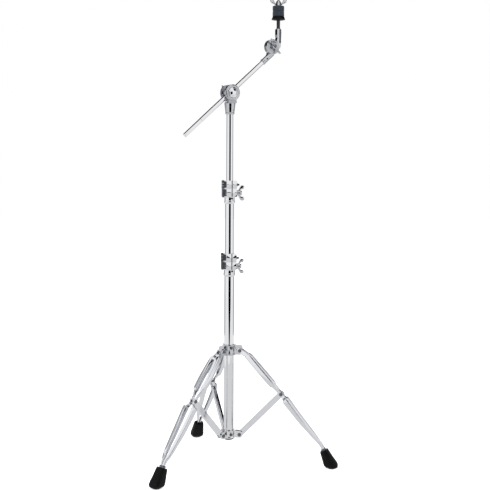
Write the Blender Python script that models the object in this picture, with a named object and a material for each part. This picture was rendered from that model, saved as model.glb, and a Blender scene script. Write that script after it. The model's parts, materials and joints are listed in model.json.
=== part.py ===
"""Cymbal boom stand: a folding tripod, three telescoping tubes, a boom and a cymbal tilter."""

from math import atan2, cos, pi, radians, sin

import bmesh
import bpy
from mathutils import Euler, Matrix, Vector
from mathutils.geometry import tessellate_polygon

# Every length is in metres. The tube axis is the local Z axis and the floor is Z = 0, before the
# whole stand is moved so that its box is centred over the origin.
GAP = 0.0003

# Tubes: outside radii, and the wall that the two thicker ones share
BASE_TUBE_R = 0.0143
MIDDLE_TUBE_R = 0.0127
UPPER_TUBE_R = 0.0100
TUBE_WALL = 0.0012
BASE_TUBE_Z = (0.0735, 0.5695)
MIDDLE_TUBE_Z = (0.2600, 0.7725)
UPPER_TUBE_Z = (0.4700, 1.0050)

# Tripod: an isosceles linkage. Brace and upper leg are equally long, and their pivots on the hub
# and on the collar are equally far from the tube axis, so the collar runs straight along the tube.
LEG_ANGLES = {"right": radians(-10.4), "left": radians(-130.4), "rear": radians(109.6)}
PIVOT_R = 0.0318
HUB_PIVOT_Z = 0.0838
LINK_LENGTH = 0.1663
LINK_ANGLE = radians(44.5)
COLLAR_PIVOT_Z = HUB_PIVOT_Z + 2 * LINK_LENGTH * cos(LINK_ANGLE)
MID_PIVOT = (PIVOT_R + LINK_LENGTH * sin(LINK_ANGLE), HUB_PIVOT_Z + LINK_LENGTH * cos(LINK_ANGLE))
FOOT_R = 0.2905
FOOT_TOP = (0.2698, 0.0468)
FOOT_TILT = radians(24)
PIN_R = 0.0030
LUG_HALF = 0.0060
BRACE_HALF = 0.0050
BRACE_END_R = 0.0080
EAR = 0.0030

# Hub and collar castings
HUB_Z = (0.0740, 0.0950)
COLLAR_Z = (0.3080, 0.3375)
CASTING_BORE = BASE_TUBE_R + GAP
HUB_RING_R = 0.0200
COLLAR_RING_R = 0.0190

# Height clamps: a cast socket on each tube's top with a memory lock resting on it
LOWER_CLAMP_Z = 0.5290
UPPER_CLAMP_Z = 0.7320
CLAMP_SKIRT = 0.0195
CLAMP_BLOCK = 0.0225
LOCK_HEIGHT = 0.0225

# Boom tilter, whose axis is level and square to the boom
BOOM_TURN = radians(28.1)
BOOM_PIVOT_Z = 1.0397
BOOM_ELEVATION = radians(40.9)
BOOM_R = 0.00635
BUSHING_WALL = 0.0008
BOOM_SPAN = (-0.1860, 0.1560)
TILTER_DISC_R = 0.0228
TILTER_GAP = 0.0100
TILTER_DISC = 0.0085
SOCKET_Z = (0.9800, 1.0139)

# Cymbal tilter at the boom's upper end
HEAD_ALONG = 0.1900
HEAD_ABOVE = 0.0142
HEAD_DISC_R = 0.0215
HEAD_DISC = 0.0084
ROD_OUT = 0.0200
ROD_FRONT = 0.0020
ARM_TOP = 0.0520
ROD_R = 0.0038
SLEEVE_R = 0.0050
SEAT_Z = 0.0785
FELT_R = 0.0166
FELT_THICK = 0.0148
STACK_Z = 0.0868

SEGMENTS = 28


def clear_scene():
    for thing in list(bpy.data.objects):
        bpy.data.objects.remove(thing, do_unlink=True)


def material(name, colour, metallic, roughness):
    made = bpy.data.materials.new(name)
    made.use_nodes = True
    shader = made.node_tree.nodes["Principled BSDF"]
    shader.inputs["Base Color"].default_value = (*colour, 1.0)
    shader.inputs["Metallic"].default_value = metallic
    shader.inputs["Roughness"].default_value = roughness
    return made


def chrome(name):
    return material(name + "_chrome", (0.80, 0.81, 0.83), 1.0, 0.06)


def steel(name):
    return material(name + "_steel", (0.62, 0.62, 0.64), 1.0, 0.28)


def rubber(name):
    return material(name + "_rubber", (0.015, 0.015, 0.017), 0.0, 0.62)


def felt(name):
    return material(name + "_felt", (0.035, 0.042, 0.055), 0.0, 0.95)


def plastic(name):
    return material(name + "_plastic", (0.03, 0.03, 0.035), 0.0, 0.38)


def empty(name, parent=None, location=(0, 0, 0), rotation=(0, 0, 0)):
    holder = bpy.data.objects.new(name, None)
    holder.empty_display_size = 0.02
    bpy.context.collection.objects.link(holder)
    holder.parent = parent
    holder.location = location
    holder.rotation_euler = rotation
    return holder


def put(name, bm, look, parent, location=(0, 0, 0), rotation=(0, 0, 0), sharp=35):
    """A bmesh made into a named object under its parent."""
    bmesh.ops.recalc_face_normals(bm, faces=bm.faces)
    mesh = bpy.data.meshes.new(name)
    bm.to_mesh(mesh)
    bm.free()
    mesh.shade_smooth()
    mesh.set_sharp_from_angle(angle=radians(sharp))
    thing = bpy.data.objects.new(name, mesh)
    bpy.context.collection.objects.link(thing)
    thing.parent = parent
    thing.location = location
    thing.rotation_euler = rotation
    if look:
        mesh.materials.append(look(name))
    return thing


def guide(thing):
    thing.hide_render = True
    thing.display_type = "WIRE"
    return thing


def combine(thing, other, operation):
    guide(other)
    step = thing.modifiers.new(operation.lower(), "BOOLEAN")
    step.operation = operation
    step.solver = "EXACT"
    step.object = other


def turned(profile, segments=SEGMENTS, closed=False):
    """A profile of (radius, height) points turned about Z. A closed profile makes a ring."""
    bm = bmesh.new()
    rows = []
    for radius, height in profile:
        if radius < 1e-9:
            rows.append([bm.verts.new((0, 0, height))])
            continue
        turn = [2 * pi * k / segments for k in range(segments)]
        rows.append([bm.verts.new((radius * cos(a), radius * sin(a), height)) for a in turn])
    pairs = list(zip(rows, rows[1:]))
    if closed:
        pairs.append((rows[-1], rows[0]))
    for low, high in pairs:
        for k in range(segments):
            n = (k + 1) % segments
            corners = [low[k % len(low)], low[n % len(low)], high[n % len(high)], high[k % len(high)]]
            face = list(dict.fromkeys(corners))
            if len(face) > 2:
                bm.faces.new(face)
    return bm


def ring(inner, outer, low, high, segments=SEGMENTS, chamfer=0.0):
    profile = [(inner, low), (outer - chamfer, low), (outer, low + chamfer)]
    profile += [(outer, high - chamfer), (outer - chamfer, high), (inner, high)]
    if not chamfer:
        profile = [(inner, low), (outer, low), (outer, high), (inner, high)]
    return turned(profile, segments, closed=True)


def rod(radius, low, high, segments=16, chamfer=0.0):
    profile = [(0, low), (radius - chamfer, low), (radius, low + chamfer)]
    profile += [(radius, high - chamfer), (radius - chamfer, high), (0, high)]
    if not chamfer:
        profile = [(0, low), (radius, low), (radius, high), (0, high)]
    return turned(profile, segments)


def plate(outline, low, high, holes=()):
    """A flat outline, with holes, extruded along Z."""
    bm = bmesh.new()
    loops = [list(outline), *[list(hole) for hole in holes]]
    flat = [Vector((x, y, 0)) for loop in loops for x, y in loop]
    triangles = tessellate_polygon([[Vector((x, y, 0)) for x, y in loop] for loop in loops])
    levels = [[bm.verts.new((p.x, p.y, z)) for p in flat] for z in (low, high)]
    for level in levels:
        for triangle in triangles:
            bm.faces.new([level[i] for i in triangle])
    start = 0
    for loop in loops:
        count = len(loop)
        for k in range(count):
            a = start + k
            b = start + (k + 1) % count
            bm.faces.new([levels[0][a], levels[0][b], levels[1][b], levels[1][a]])
        start += count
    return bm


def loft(rings):
    bm = bmesh.new()
    rows = [[bm.verts.new(point) for point in points] for points in rings]
    for low, high in zip(rows, rows[1:]):
        for k in range(len(low)):
            n = (k + 1) % len(low)
            bm.faces.new([low[k], low[n], high[n], high[k]])
    bm.faces.new(rows[0])
    bm.faces.new(rows[-1])
    return bm


def box(low, high):
    outline = [(low[0], low[1]), (high[0], low[1]), (high[0], high[1]), (low[0], high[1])]
    return plate(outline, low[2], high[2])


def arc(centre, radius, start, end, steps=8):
    turn = [start + (end - start) * k / steps for k in range(steps + 1)]
    return [(centre[0] + radius * cos(a), centre[1] + radius * sin(a)) for a in turn]


def link_outline(length, radius, steps=8):
    """A flat bar with round ends, from one pivot at the origin to the other along +Y."""
    return arc((0, 0), radius, pi, 2 * pi, steps) + arc((0, length), radius, 0, pi, steps)


def circle(centre, radius, steps=16):
    return arc(centre, radius, 0, 2 * pi * (steps - 1) / steps, steps - 1)


def leg_frame(name, root):
    """An empty whose X points out along a leg and whose Z is up."""
    return empty(f"{name}_leg_plane", root, rotation=(0, 0, LEG_ANGLES[name]))


ALONG_Y = (pi / 2, 0, 0)


# ---------------------------------------------------------------- tubes


def tube(name, root, radius, wall, ends):
    return put(name, ring(radius - wall, radius, *ends), chrome, root)


def base_plug(root):
    stem = BASE_TUBE_R - TUBE_WALL - GAP
    low, high = BASE_TUBE_Z[0] - 0.0045, BASE_TUBE_Z[0] + 0.014
    step = BASE_TUBE_Z[0] - GAP
    profile = [(0, low), (BASE_TUBE_R - 0.0012, low), (BASE_TUBE_R, low + 0.0012)]
    profile += [(BASE_TUBE_R, step), (stem, step), (stem, high), (0, high)]
    put("tube_plug", turned(profile, 24), rubber, root)


# ---------------------------------------------------------------- tripod


def lug_outline(inner, outer, low, high, corner):
    """A lug's side view, X outward and Y up, with its outer corners rounded."""
    points = [(inner, low), (outer - corner, low)]
    points += arc((outer - corner, low + corner), corner, -pi / 2, 0, 3)
    points += arc((outer - corner, high - corner), corner, 0, pi / 2, 4)
    points.append((inner, high))
    return points


def casting(name, root, heights, ring_r, lug_half, slot_half, reach):
    """A ring on the base tube with one lug for each leg, slotted where slot_half is given."""
    low, high = heights
    body = put(name, ring(CASTING_BORE, ring_r, low, high, chamfer=0.0012), chrome, root)
    pivot_z = HUB_PIVOT_Z if name == "leg_hub" else COLLAR_PIVOT_Z
    for leg, angle in LEG_ANGLES.items():
        side = lug_outline(CASTING_BORE + 0.002, reach, low + 0.0008, high - 0.0008, 0.006)
        lug = put(f"{name}_{leg}_lug", plate(side, -lug_half, lug_half), None, root)
        lug.rotation_euler = (pi / 2, 0, angle)
        combine(body, lug, "UNION")
    for leg, angle in LEG_ANGLES.items():
        hole = put(f"{name}_{leg}_bore", rod(PIN_R + GAP, -0.02, 0.02), None, root)
        hole.rotation_euler = (pi / 2, 0, angle)
        hole.location = (PIVOT_R * cos(angle), PIVOT_R * sin(angle), pivot_z)
        combine(body, hole, "DIFFERENCE")
        if slot_half:
            slot_low = (HUB_RING_R + 0.0008, -slot_half, low - 0.01)
            slot = put(f"{name}_{leg}_slot", box(slot_low, (0.06, slot_half, high + 0.01)), None, root)
            slot.rotation_euler = (0, 0, angle)
            combine(body, slot, "DIFFERENCE")
    return body


def set_screw(name, root, angle, radius_out, height, head_r=0.0035, inside=None):
    """A square-headed key screw that stands out radially from a casting."""
    outward = Euler((0, pi / 2, angle)).to_matrix() @ Vector((0, 0, 1))
    place = outward * radius_out
    screw = put(name, rod(head_r, GAP, 0.0052, 8, 0.0006), steel, root)
    screw.location = (place.x, place.y, height)
    screw.rotation_euler = (0, pi / 2, angle)
    return screw


def rail_stations():
    """Rows of (out, up, sideways centre, half width, half depth) down one leg rail."""
    ear = LUG_HALF + GAP + EAR / 2
    mid_ear = BRACE_HALF + GAP + EAR / 2
    r, z = MID_PIVOT
    slope = Vector((0.0252, -0.0165)).normalized()
    pin = Vector((PIVOT_R, COLLAR_PIVOT_Z))
    end = pin - slope * 0.0066
    after = pin + slope * 0.0090
    return [
        (end.x, end.y, ear, EAR / 2, 0.0042),
        (pin.x - slope.x * 0.004, pin.y - slope.y * 0.004, ear, EAR / 2, 0.0066),
        (pin.x, pin.y, ear, EAR / 2, 0.0070),
        (after.x, after.y, ear, EAR / 2, 0.0070),
        (0.0520, 0.3085, 0.0086, 0.0040, 0.0060),
        (0.0640, 0.2970, 0.0106, 0.0050, 0.0046),
        (0.1000, 0.2562, 0.0142, 0.0052, 0.0044),
        (0.1300, 0.2226, 0.0122, 0.0052, 0.0044),
        (r - 0.0075, z + 0.0088, mid_ear + 0.0005, EAR / 2, 0.0056),
        (r, z, mid_ear, EAR / 2, 0.0060),
        (r + 0.0068, z - 0.0083, mid_ear + 0.0005, EAR / 2, 0.0056),
        (r + 0.0150, z - 0.0185, 0.0158, 0.0052, 0.0044),
        (0.2000, 0.1372, 0.0142, 0.0052, 0.0044),
        (0.2370, 0.0940, 0.0106, 0.0050, 0.0044),
        (0.2500, 0.0784, 0.0090, 0.0046, 0.0046),
        (0.2600, 0.0660, 0.0056, 0.0032, 0.0046),
        (0.2660, 0.0552, 0.0040, 0.0026, 0.0044),
        (0.2712, 0.0436, 0.0038, 0.0024, 0.0042),
        (0.2748, 0.0356, 0.0038, 0.0024, 0.0042),
    ]


def rail_rings(side):
    stations = rail_stations()
    rings = []
    for k, (x, z, y, half_width, half_depth) in enumerate(stations):
        before = stations[max(k - 1, 0)]
        after = stations[min(k + 1, len(stations) - 1)]
        along = Vector((after[0] - before[0], after[1] - before[1])).normalized()
        normal = Vector((-along.y, along.x))
        soft = 0.45
        shape = [(-1, -soft), (-soft, -1), (soft, -1), (1, -soft), (1, soft), (soft, 1), (-soft, 1), (-1, soft)]
        points = []
        for across, deep in shape:
            out = x + normal.x * deep * half_depth
            up = z + normal.y * deep * half_depth
            points.append((out, side * (y + across * half_width), up))
        rings.append(points)
    return rings


def pin_cutter(name, frame, place):
    hole = put(name, rod(PIN_R + GAP, -0.03, 0.03), None, frame, (place[0], 0, place[1]), ALONG_Y)
    return guide(hole)


def headed_pin(name, frame, place, half_grip):
    """A rivet through a pivot: a shank between two domed heads."""
    head = 0.0052
    grip = half_grip + GAP
    profile = [(0, -grip - 0.0026), (head * 0.62, -grip - 0.0022), (head, -grip - 0.0006), (head, -grip)]
    profile += [(PIN_R, -grip), (PIN_R, grip), (head, grip), (head, grip + 0.0006)]
    profile += [(head * 0.62, grip + 0.0022), (0, grip + 0.0026)]
    put(name, turned(profile, 16), steel, frame, (place[0], 0, place[1]), ALONG_Y)


def foot_rings():
    """Rings down the foot, from its tilted top to the flat patch that stands on the floor."""
    tilt = FOOT_TILT
    top = Vector(FOOT_TOP)
    rows = [
        (0.000, 0.0000, 0.0085, 0.0105, tilt),
        (0.0015, 0.0002, 0.0108, 0.0128, tilt),
        (0.012, 0.0004, 0.0128, 0.0144, tilt),
        (0.024, 0.0010, 0.0150, 0.0163, tilt * 0.9),
        (0.036, 0.0022, 0.0178, 0.0184, tilt * 0.75),
        (0.0435, 0.0036, 0.0180, 0.0184, tilt * 0.45),
        (0.0485, 0.0042, 0.0152, 0.0160, tilt * 0.15),
    ]
    down = Vector((sin(tilt), -cos(tilt)))
    rings = []
    for along, aside, deep, wide, lean in rows:
        centre = top + down * along + Vector((cos(tilt), sin(tilt))) * aside
        across = Vector((cos(lean), sin(lean)))
        points = []
        for k in range(16):
            a = 2 * pi * k / 16
            squash = (abs(cos(a)) ** 2.6 + abs(sin(a)) ** 2.6) ** (-1 / 2.6)
            u = cos(a) * squash * deep
            points.append((centre.x + across.x * u, sin(a) * squash * wide, centre.y + across.y * u))
        rings.append(points)
    floor = [(FOOT_R + 0.0088 * cos(2 * pi * k / 16), 0.0095 * sin(2 * pi * k / 16), 0) for k in range(16)]
    rings.append(floor)
    return rings


def foot(name, frame):
    body = put(f"{name}_foot", loft(foot_rings()), rubber, frame)
    pocket = put(f"{name}_foot_pocket", box((-0.0058, -0.0070, -0.0165), (0.0058, 0.0070, 0.01)), None, frame)
    pocket.location = (FOOT_TOP[0], 0, FOOT_TOP[1])
    pocket.rotation_euler = (0, -FOOT_TILT, 0)
    combine(body, pocket, "DIFFERENCE")


def brace(name, frame):
    holes = (circle((0, 0), PIN_R + GAP), circle((0, LINK_LENGTH), PIN_R + GAP))
    bar = plate(link_outline(LINK_LENGTH, BRACE_END_R), -BRACE_HALF, BRACE_HALF, holes)
    bmesh.ops.rotate(bar, verts=bar.verts, matrix=Matrix.Rotation(pi / 2, 3, "X"))
    put(f"{name}_brace", bar, chrome, frame, (PIVOT_R, 0, HUB_PIVOT_Z), (0, LINK_ANGLE, 0))


def leg(name, root):
    frame = leg_frame(name, root)
    top_hole = pin_cutter(f"{name}_collar_bore", frame, (PIVOT_R, COLLAR_PIVOT_Z))
    mid_hole = pin_cutter(f"{name}_knee_bore", frame, MID_PIVOT)
    for side, label in ((1, "a"), (-1, "b")):
        rail = put(f"{name}_leg_rail_{label}", loft(rail_rings(side)), chrome, frame)
        combine(rail, top_hole, "DIFFERENCE")
        combine(rail, mid_hole, "DIFFERENCE")
    brace(name, frame)
    foot(name, frame)
    headed_pin(f"{name}_collar_pin", frame, (PIVOT_R, COLLAR_PIVOT_Z), LUG_HALF + GAP + EAR)
    headed_pin(f"{name}_knee_pin", frame, MID_PIVOT, BRACE_HALF + GAP + EAR)
    headed_pin(f"{name}_hub_pin", frame, (PIVOT_R, HUB_PIVOT_Z), 0.0088)


# ---------------------------------------------------------------- height clamps


def wing_outline(span, height, hub_r):
    """A wing nut's silhouette across its wings, base at Y = 0."""
    half = span / 2
    tip = height * 0.24
    right = [(hub_r * 0.9, 0.0), (half * 0.70, height * 0.30), (half - tip * 0.4, height * 0.52)]
    right += arc((half - tip, height - tip), tip, -0.3, pi * 0.75, 5)
    right += [(half * 0.52, height * 0.66), (hub_r * 0.85, height * 0.44)]
    left = [(-x, y) for x, y in reversed(right)]
    return right + left


def wing_nut(name, parent, location, rotation, span, height, hub_r, bore, look=chrome):
    """A hub with two wings that spread away from its base. The screw axis is local Z."""
    hub = [(0, 0), (hub_r, 0), (hub_r, height * 0.40), (hub_r * 0.78, height * 0.62), (0, height * 0.62)]
    body = put(name, turned(hub, 18), look, parent, location, rotation)
    wings = put(f"{name}_wings", plate(wing_outline(span, height, hub_r), -0.0019, 0.0019), None, body)
    wings.rotation_euler = ALONG_Y
    combine(body, wings, "UNION")
    hole = put(f"{name}_bore", rod(bore + GAP, -0.002, height), None, body)
    combine(body, hole, "DIFFERENCE")
    return body


EAR_X = (-0.0085, 0.0205)
EAR_FRONT = -0.0300
SCREW_Y = -0.0225
SLIT_X = (0.0060, 0.0080)
KNUCKLE_Y = 0.0050
KNUCKLE_OUT = 0.0024
KNUCKLE_R = 0.0042


def c_outline(bore, outer, ears_x, front, slit):
    """A split band seen from above: a round back with two ears in front and a slit to the bore."""
    left, right = ears_x
    corner = 0.003
    points = [(slit[1], front), (right - corner, front), (right, front + corner), (right, -0.008)]
    points += arc((0, 0), outer, atan2(-0.002, outer), radians(236), 20)
    points += [(left, -outer * 0.9), (left, front + corner), (left + corner, front), (slit[0], front)]
    inner_a = atan2(-(bore**2 - slit[0] ** 2) ** 0.5, slit[0])
    inner_b = atan2(-(bore**2 - slit[1] ** 2) ** 0.5, slit[1])
    points += arc((0, 0), bore, inner_a, inner_b - 2 * pi, 26)
    return points


def clamp_socket(name, parent, z, tube_r, outer):
    """The cast socket on a tube's end: a skirt round the tube and a split band with two ears."""
    bore = tube_r + GAP
    low, high = z + CLAMP_SKIRT, z + CLAMP_SKIRT + CLAMP_BLOCK
    block = plate(c_outline(bore, outer + 0.0012, EAR_X, EAR_FRONT, SLIT_X), low, high)
    body = put(name, block, chrome, parent)
    skirt_profile = [(bore, z), (outer - 0.0016, z), (outer, z + 0.005), (outer, low + 0.001), (bore, low + 0.001)]
    skirt = put(f"{name}_skirt", turned(skirt_profile, closed=True), None, parent)
    combine(body, skirt, "UNION")
    barrel = put(f"{name}_knuckle", rod(KNUCKLE_R, low, high, 12), None, parent)
    barrel.location = (-outer - KNUCKLE_OUT, KNUCKLE_Y, 0)
    combine(body, barrel, "UNION")
    cut_bolt(body, parent, low + CLAMP_BLOCK * 0.5, 0.0030)
    trim = put(f"{name}_trim", ear_trim(low, high), None, parent)
    combine(body, trim, "DIFFERENCE")
    return body


def ear_trim(low, high):
    """A wedge that slants the right ear's lower edge."""
    bm = plate([(0.0122, low - 0.001), (0.03, low - 0.001), (0.03, low + 0.0075), (0.0205, low + 0.0070)], 0.012, 0.04)
    bmesh.ops.rotate(bm, verts=bm.verts, matrix=Matrix.Rotation(pi / 2, 3, "X"))
    return bm


def cut_bolt(body, parent, height, radius):
    hole = put(f"{body.name}_bolt_bore", rod(radius + GAP, -0.03, 0.04, 14), None, parent)
    hole.rotation_euler = (0, pi / 2, 0)
    hole.location = (0, SCREW_Y, height)
    combine(body, hole, "DIFFERENCE")


def clamp_bolt(name, parent, height, wing):
    """The T-bolt across the ears. Its head sits against the left ear, its thread in the wing nut."""
    left = EAR_X[0] - GAP
    profile = [(0, left - 0.0034), (0.0050, left - 0.0034), (0.0056, left - 0.0026), (0.0056, left)]
    profile += [(0.0030, left), (0.0030, wing), (0, wing)]
    bolt = put(name, turned(profile, 14), steel, parent)
    bolt.rotation_euler = (0, pi / 2, 0)
    bolt.location = (0, SCREW_Y, height)


def memory_lock(name, parent, z, tube_r, outer):
    """A hinged ring on the sliding tube: a back half, a front gate and a square-headed key screw."""
    low, high = z + GAP, z + LOCK_HEIGHT
    bore = tube_r + GAP
    knuckle = (-outer - KNUCKLE_OUT, KNUCKLE_Y)
    lock = empty(f"{name}_axis", parent, (0, 0, low))
    tall = high - low
    back = half_ring(bore, outer, True)
    body = put(name, plate(back, 0, tall), chrome, lock)
    front = half_ring(bore, outer, False)
    gate_axis = empty(f"{name}_gate_axis", lock, (*knuckle, 0))
    front = [(x - knuckle[0], y - knuckle[1]) for x, y in front]
    gate = put(f"{name}_gate", plate(front, 0, tall), chrome, gate_axis)
    thirds = ((0.0, 0.32), (0.68, 1.0))
    for k, (start, end) in enumerate(thirds):
        barrel = put(f"{name}_knuckle_{k}", rod(KNUCKLE_R, tall * start, tall * end, 12), None, lock)
        barrel.location = (*knuckle, 0)
        combine(body, barrel, "UNION")
    clear = put(f"{name}_knuckle_clear", rod(KNUCKLE_R + GAP, tall * 0.32, tall * 0.68, 12), None, lock)
    clear.location = (*knuckle, 0)
    combine(body, clear, "DIFFERENCE")
    middle = put(f"{name}_gate_knuckle", rod(KNUCKLE_R, tall * 0.32 + GAP, tall * 0.68 - GAP, 12), None, gate_axis)
    for k, (start, end) in enumerate(((-0.1, 0.32), (0.68, 1.1))):
        low_z = tall * start - (0 if k == 0 else GAP)
        high_z = tall * end + (GAP if k == 0 else 0)
        space = put(f"{name}_gate_space_{k}", rod(KNUCKLE_R + GAP, low_z, high_z, 12), None, gate_axis)
        combine(gate, space, "DIFFERENCE")
    combine(gate, middle, "UNION")
    screw_z = tall * 0.5
    for part in (body, gate):
        hole = put(f"{part.name}_screw_bore", rod(0.0024 + GAP, -0.03, 0.04, 12), None, lock)
        hole.rotation_euler = (0, pi / 2, 0)
        hole.location = (0, SCREW_Y, screw_z)
        combine(part, hole, "DIFFERENCE")
    half_slot = 0.0024 + GAP
    slot_low = (EAR_X[0] - 0.002, SCREW_Y, screw_z - half_slot)
    slot = put(f"{name}_gate_slot", box(slot_low, (SLIT_X[1] + 0.002, -0.008, screw_z + half_slot)), None, lock)
    combine(gate, slot, "DIFFERENCE")
    right = EAR_X[1] + GAP
    square = 0.0036
    profile = [(0, EAR_X[0] + 0.001), (0.0024, EAR_X[0] + 0.001), (0.0024, right), (0.0046, right)]
    profile += [(0.0046, right + 0.0012), (square, right + 0.0016), (square, right + 0.0062), (0, right + 0.0062)]
    screw = put(f"{name}_key_screw", turned(profile, 12), steel, lock)
    screw.rotation_euler = (0, pi / 2, 0)
    screw.location = (0, SCREW_Y, screw_z)
    return body


def half_ring(bore, outer, back):
    """Half of the split lock ring seen from above: the back half keeps the right ear."""
    left, right = EAR_X
    slit_left, slit_right = SLIT_X
    front = EAR_FRONT + 0.001
    split = radians(166)
    if back:
        inner_end = atan2(-(bore**2 - slit_right**2) ** 0.5, slit_right)
        points = [(slit_right, front), (right - 0.003, front), (right, front + 0.003), (right, -0.008)]
        points += arc((0, 0), outer, atan2(-0.002, outer), split, 12)
        return points + arc((0, 0), bore, split, inner_end, 16)
    inner_end = atan2(-(bore**2 - slit_left**2) ** 0.5, slit_left) + 2 * pi
    start = split + 0.03
    points = arc((0, 0), bore, inner_end, start, 12) + arc((0, 0), outer, start, radians(236), 6)
    points += [(left, -outer * 0.90), (left, front + 0.003), (left + 0.003, front), (slit_left, front)]
    return points


def height_clamp(name, root, z, tube_r, inner_r, outer):
    clamp_socket(f"{name}_clamp", root, z, tube_r, outer)
    bolt_z = z + CLAMP_SKIRT + CLAMP_BLOCK / 2
    wing_x = EAR_X[1] + GAP
    clamp_bolt(f"{name}_clamp_bolt", root, bolt_z, wing_x + 0.013)
    axis = empty(f"{name}_wing_axis", root, (wing_x, SCREW_Y, bolt_z), (0, pi / 2, 0))
    turn = (0, 0, radians(10))
    wing_nut(f"{name}_clamp_wing_nut", axis, (0, 0, 0), turn, 0.0340, 0.0190, 0.0058, 0.0030)
    top = z + CLAMP_SKIRT + CLAMP_BLOCK
    memory_lock(f"{name}_memory_lock", root, top, inner_r, outer + 0.0005)


# ---------------------------------------------------------------- boom tilter


def boom_base(frame):
    """The casting on the upper tube's end: a tapered socket, a neck and the front cheek."""
    bore = UPPER_TUBE_R + GAP
    low = SOCKET_Z[0] - BOOM_PIVOT_Z
    high = SOCKET_Z[1] - BOOM_PIVOT_Z
    shell = [(bore, low), (0.0126, low), (0.0136, low + 0.003), (0.0160, high - 0.004), (0.0152, high)]
    shell += [(0, high), (0, high - 0.006), (bore, high - 0.006)]
    body = put("boom_base", turned(shell, closed=True), chrome, frame)
    front = -TILTER_GAP
    cheek_profile = [(0, TILTER_DISC), (TILTER_DISC_R - 0.0035, TILTER_DISC), (TILTER_DISC_R, TILTER_DISC - 0.0030)]
    cheek_profile += [(TILTER_DISC_R, 0.0004), (TILTER_DISC_R - 0.0004, 0), (0, 0)]
    cheek = put("boom_base_cheek", turned(cheek_profile, 32), None, frame, (0, front, 0), ALONG_Y)
    combine(body, cheek, "UNION")
    neck = put("boom_base_neck", box((-0.0110, -0.0145, high - 0.003), (0.0110, front - 0.0004, -0.012)), None, frame)
    combine(body, neck, "UNION")
    pocket = put("boom_base_pocket", rod(0.0150 + GAP, -0.001, 0.0022, 24), None, frame)
    pocket.location = (0, front - TILTER_DISC, 0)
    pocket.rotation_euler = (-pi / 2, 0, 0)
    combine(body, pocket, "DIFFERENCE")


def boom_tilter(frame):
    boom_base(frame)
    cap_face = -TILTER_GAP - TILTER_DISC + 0.0022
    cap = [(0, 0), (0.0150, 0), (0.0150, 0.0032), (0.0138, 0.0050), (0.0100, 0.0068), (0.0050, 0.0078), (0, 0.0081)]
    put("boom_tilter_cap", turned(cap, 28), chrome, frame, (0, cap_face - GAP, 0), ALONG_Y)
    tilt = empty("boom_tilt_axis", frame, rotation=(0, -BOOM_ELEVATION, 0))
    eye = put("boom_eye_bolt", rod(0.0150, -TILTER_GAP + GAP, TILTER_GAP - GAP, 28), chrome, tilt, rotation=ALONG_Y)
    shank = put("boom_eye_shank", rod(0.0040, -0.0370, -0.004, 16), None, tilt, rotation=ALONG_Y)
    combine(eye, shank, "UNION")
    hole = put("boom_eye_bore", rod(BOOM_R + BUSHING_WALL + 2 * GAP, -0.04, 0.04, 24), None, tilt)
    hole.rotation_euler = (0, pi / 2, 0)
    combine(eye, hole, "DIFFERENCE")
    bushing = put("boom_bushing", ring(BOOM_R + GAP, BOOM_R + BUSHING_WALL + GAP, -0.0120, 0.0120, 24), plastic, tilt)
    bushing.rotation_euler = (0, pi / 2, 0)
    back_profile = [(0.0040 + GAP, 0), (TILTER_DISC_R - 0.0004, 0), (TILTER_DISC_R, 0.0004)]
    back_profile += [(TILTER_DISC_R, TILTER_DISC - 0.002), (TILTER_DISC_R - 0.003, TILTER_DISC)]
    back_profile += [(0.0100, TILTER_DISC), (0.0095, TILTER_DISC + 0.0014), (0.0040 + GAP, TILTER_DISC + 0.0014)]
    back = put("boom_back_plate", turned(back_profile, 32, closed=True), chrome, tilt)
    back.location = (0, TILTER_GAP, 0)
    back.rotation_euler = (-pi / 2, 0, 0)
    nut_y = TILTER_GAP + TILTER_DISC + 0.0014 + GAP
    wing_nut("boom_tilter_wing_nut", tilt, (0, nut_y, 0), (-pi / 2, radians(-40), 0), 0.0460, 0.0210, 0.0085, 0.0040)
    return tilt


def boom(tilt):
    turn = empty("boom_turn_axis", tilt, rotation=(0, pi / 2, 0))
    low, high = BOOM_SPAN
    profile = [(0, low + 0.0), (BOOM_R - 0.0012, low), (BOOM_R - 0.0003, low + 0.0010)]
    profile += [(BOOM_R - 0.0003, low + 0.0660), (BOOM_R, low + 0.0664), (BOOM_R, high), (0, high)]
    put("boom_tube", turned(profile, 24), chrome, turn)
    return turn


# ---------------------------------------------------------------- cymbal tilter


def head_socket(tilt):
    """The boom's upper socket and the rear toothed disc, in the boom's own frame (X along it)."""
    start, end = 0.1370, HEAD_ALONG - 0.010
    bore = BOOM_R + GAP
    profile = [(0, start), (0.0082, start), (0.0082, end), (0, end)]
    body = put("cymbal_tilter_socket", turned(profile, 24), chrome, tilt, rotation=(0, pi / 2, 0))
    centre = (HEAD_ALONG, 0, HEAD_ABOVE)
    disc = put("cymbal_tilter_rear_disc", rod(HEAD_DISC_R, -HEAD_DISC, -GAP / 2, 32, 0.0009), None, tilt)
    disc.location = centre
    disc.rotation_euler = ALONG_Y
    combine(body, disc, "UNION")
    web = box((end - 0.018, 0.0006, -0.0060), (HEAD_ALONG - 0.002, 0.0078, HEAD_ABOVE))
    combine(body, put("cymbal_tilter_web", web, None, tilt), "UNION")
    room = put("cymbal_tilter_room", rod(HEAD_DISC_R + 0.0015, -GAP / 2, 0.03, 32), None, tilt)
    room.location = centre
    room.rotation_euler = ALONG_Y
    combine(body, room, "DIFFERENCE")
    hole = put("cymbal_tilter_bolt_bore", rod(0.0035 + GAP, -0.03, 0.03), None, tilt)
    hole.location = centre
    hole.rotation_euler = ALONG_Y
    combine(body, hole, "DIFFERENCE")
    cup = put("cymbal_tilter_boom_bore", rod(bore, start - 0.01, BOOM_SPAN[1] + GAP, 24), None, tilt)
    cup.rotation_euler = (0, pi / 2, 0)
    combine(body, cup, "DIFFERENCE")
    cap = put("cymbal_tilter_bolt", bolt_mesh(), steel, tilt)
    cap.location = centre
    cap.rotation_euler = ALONG_Y


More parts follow.
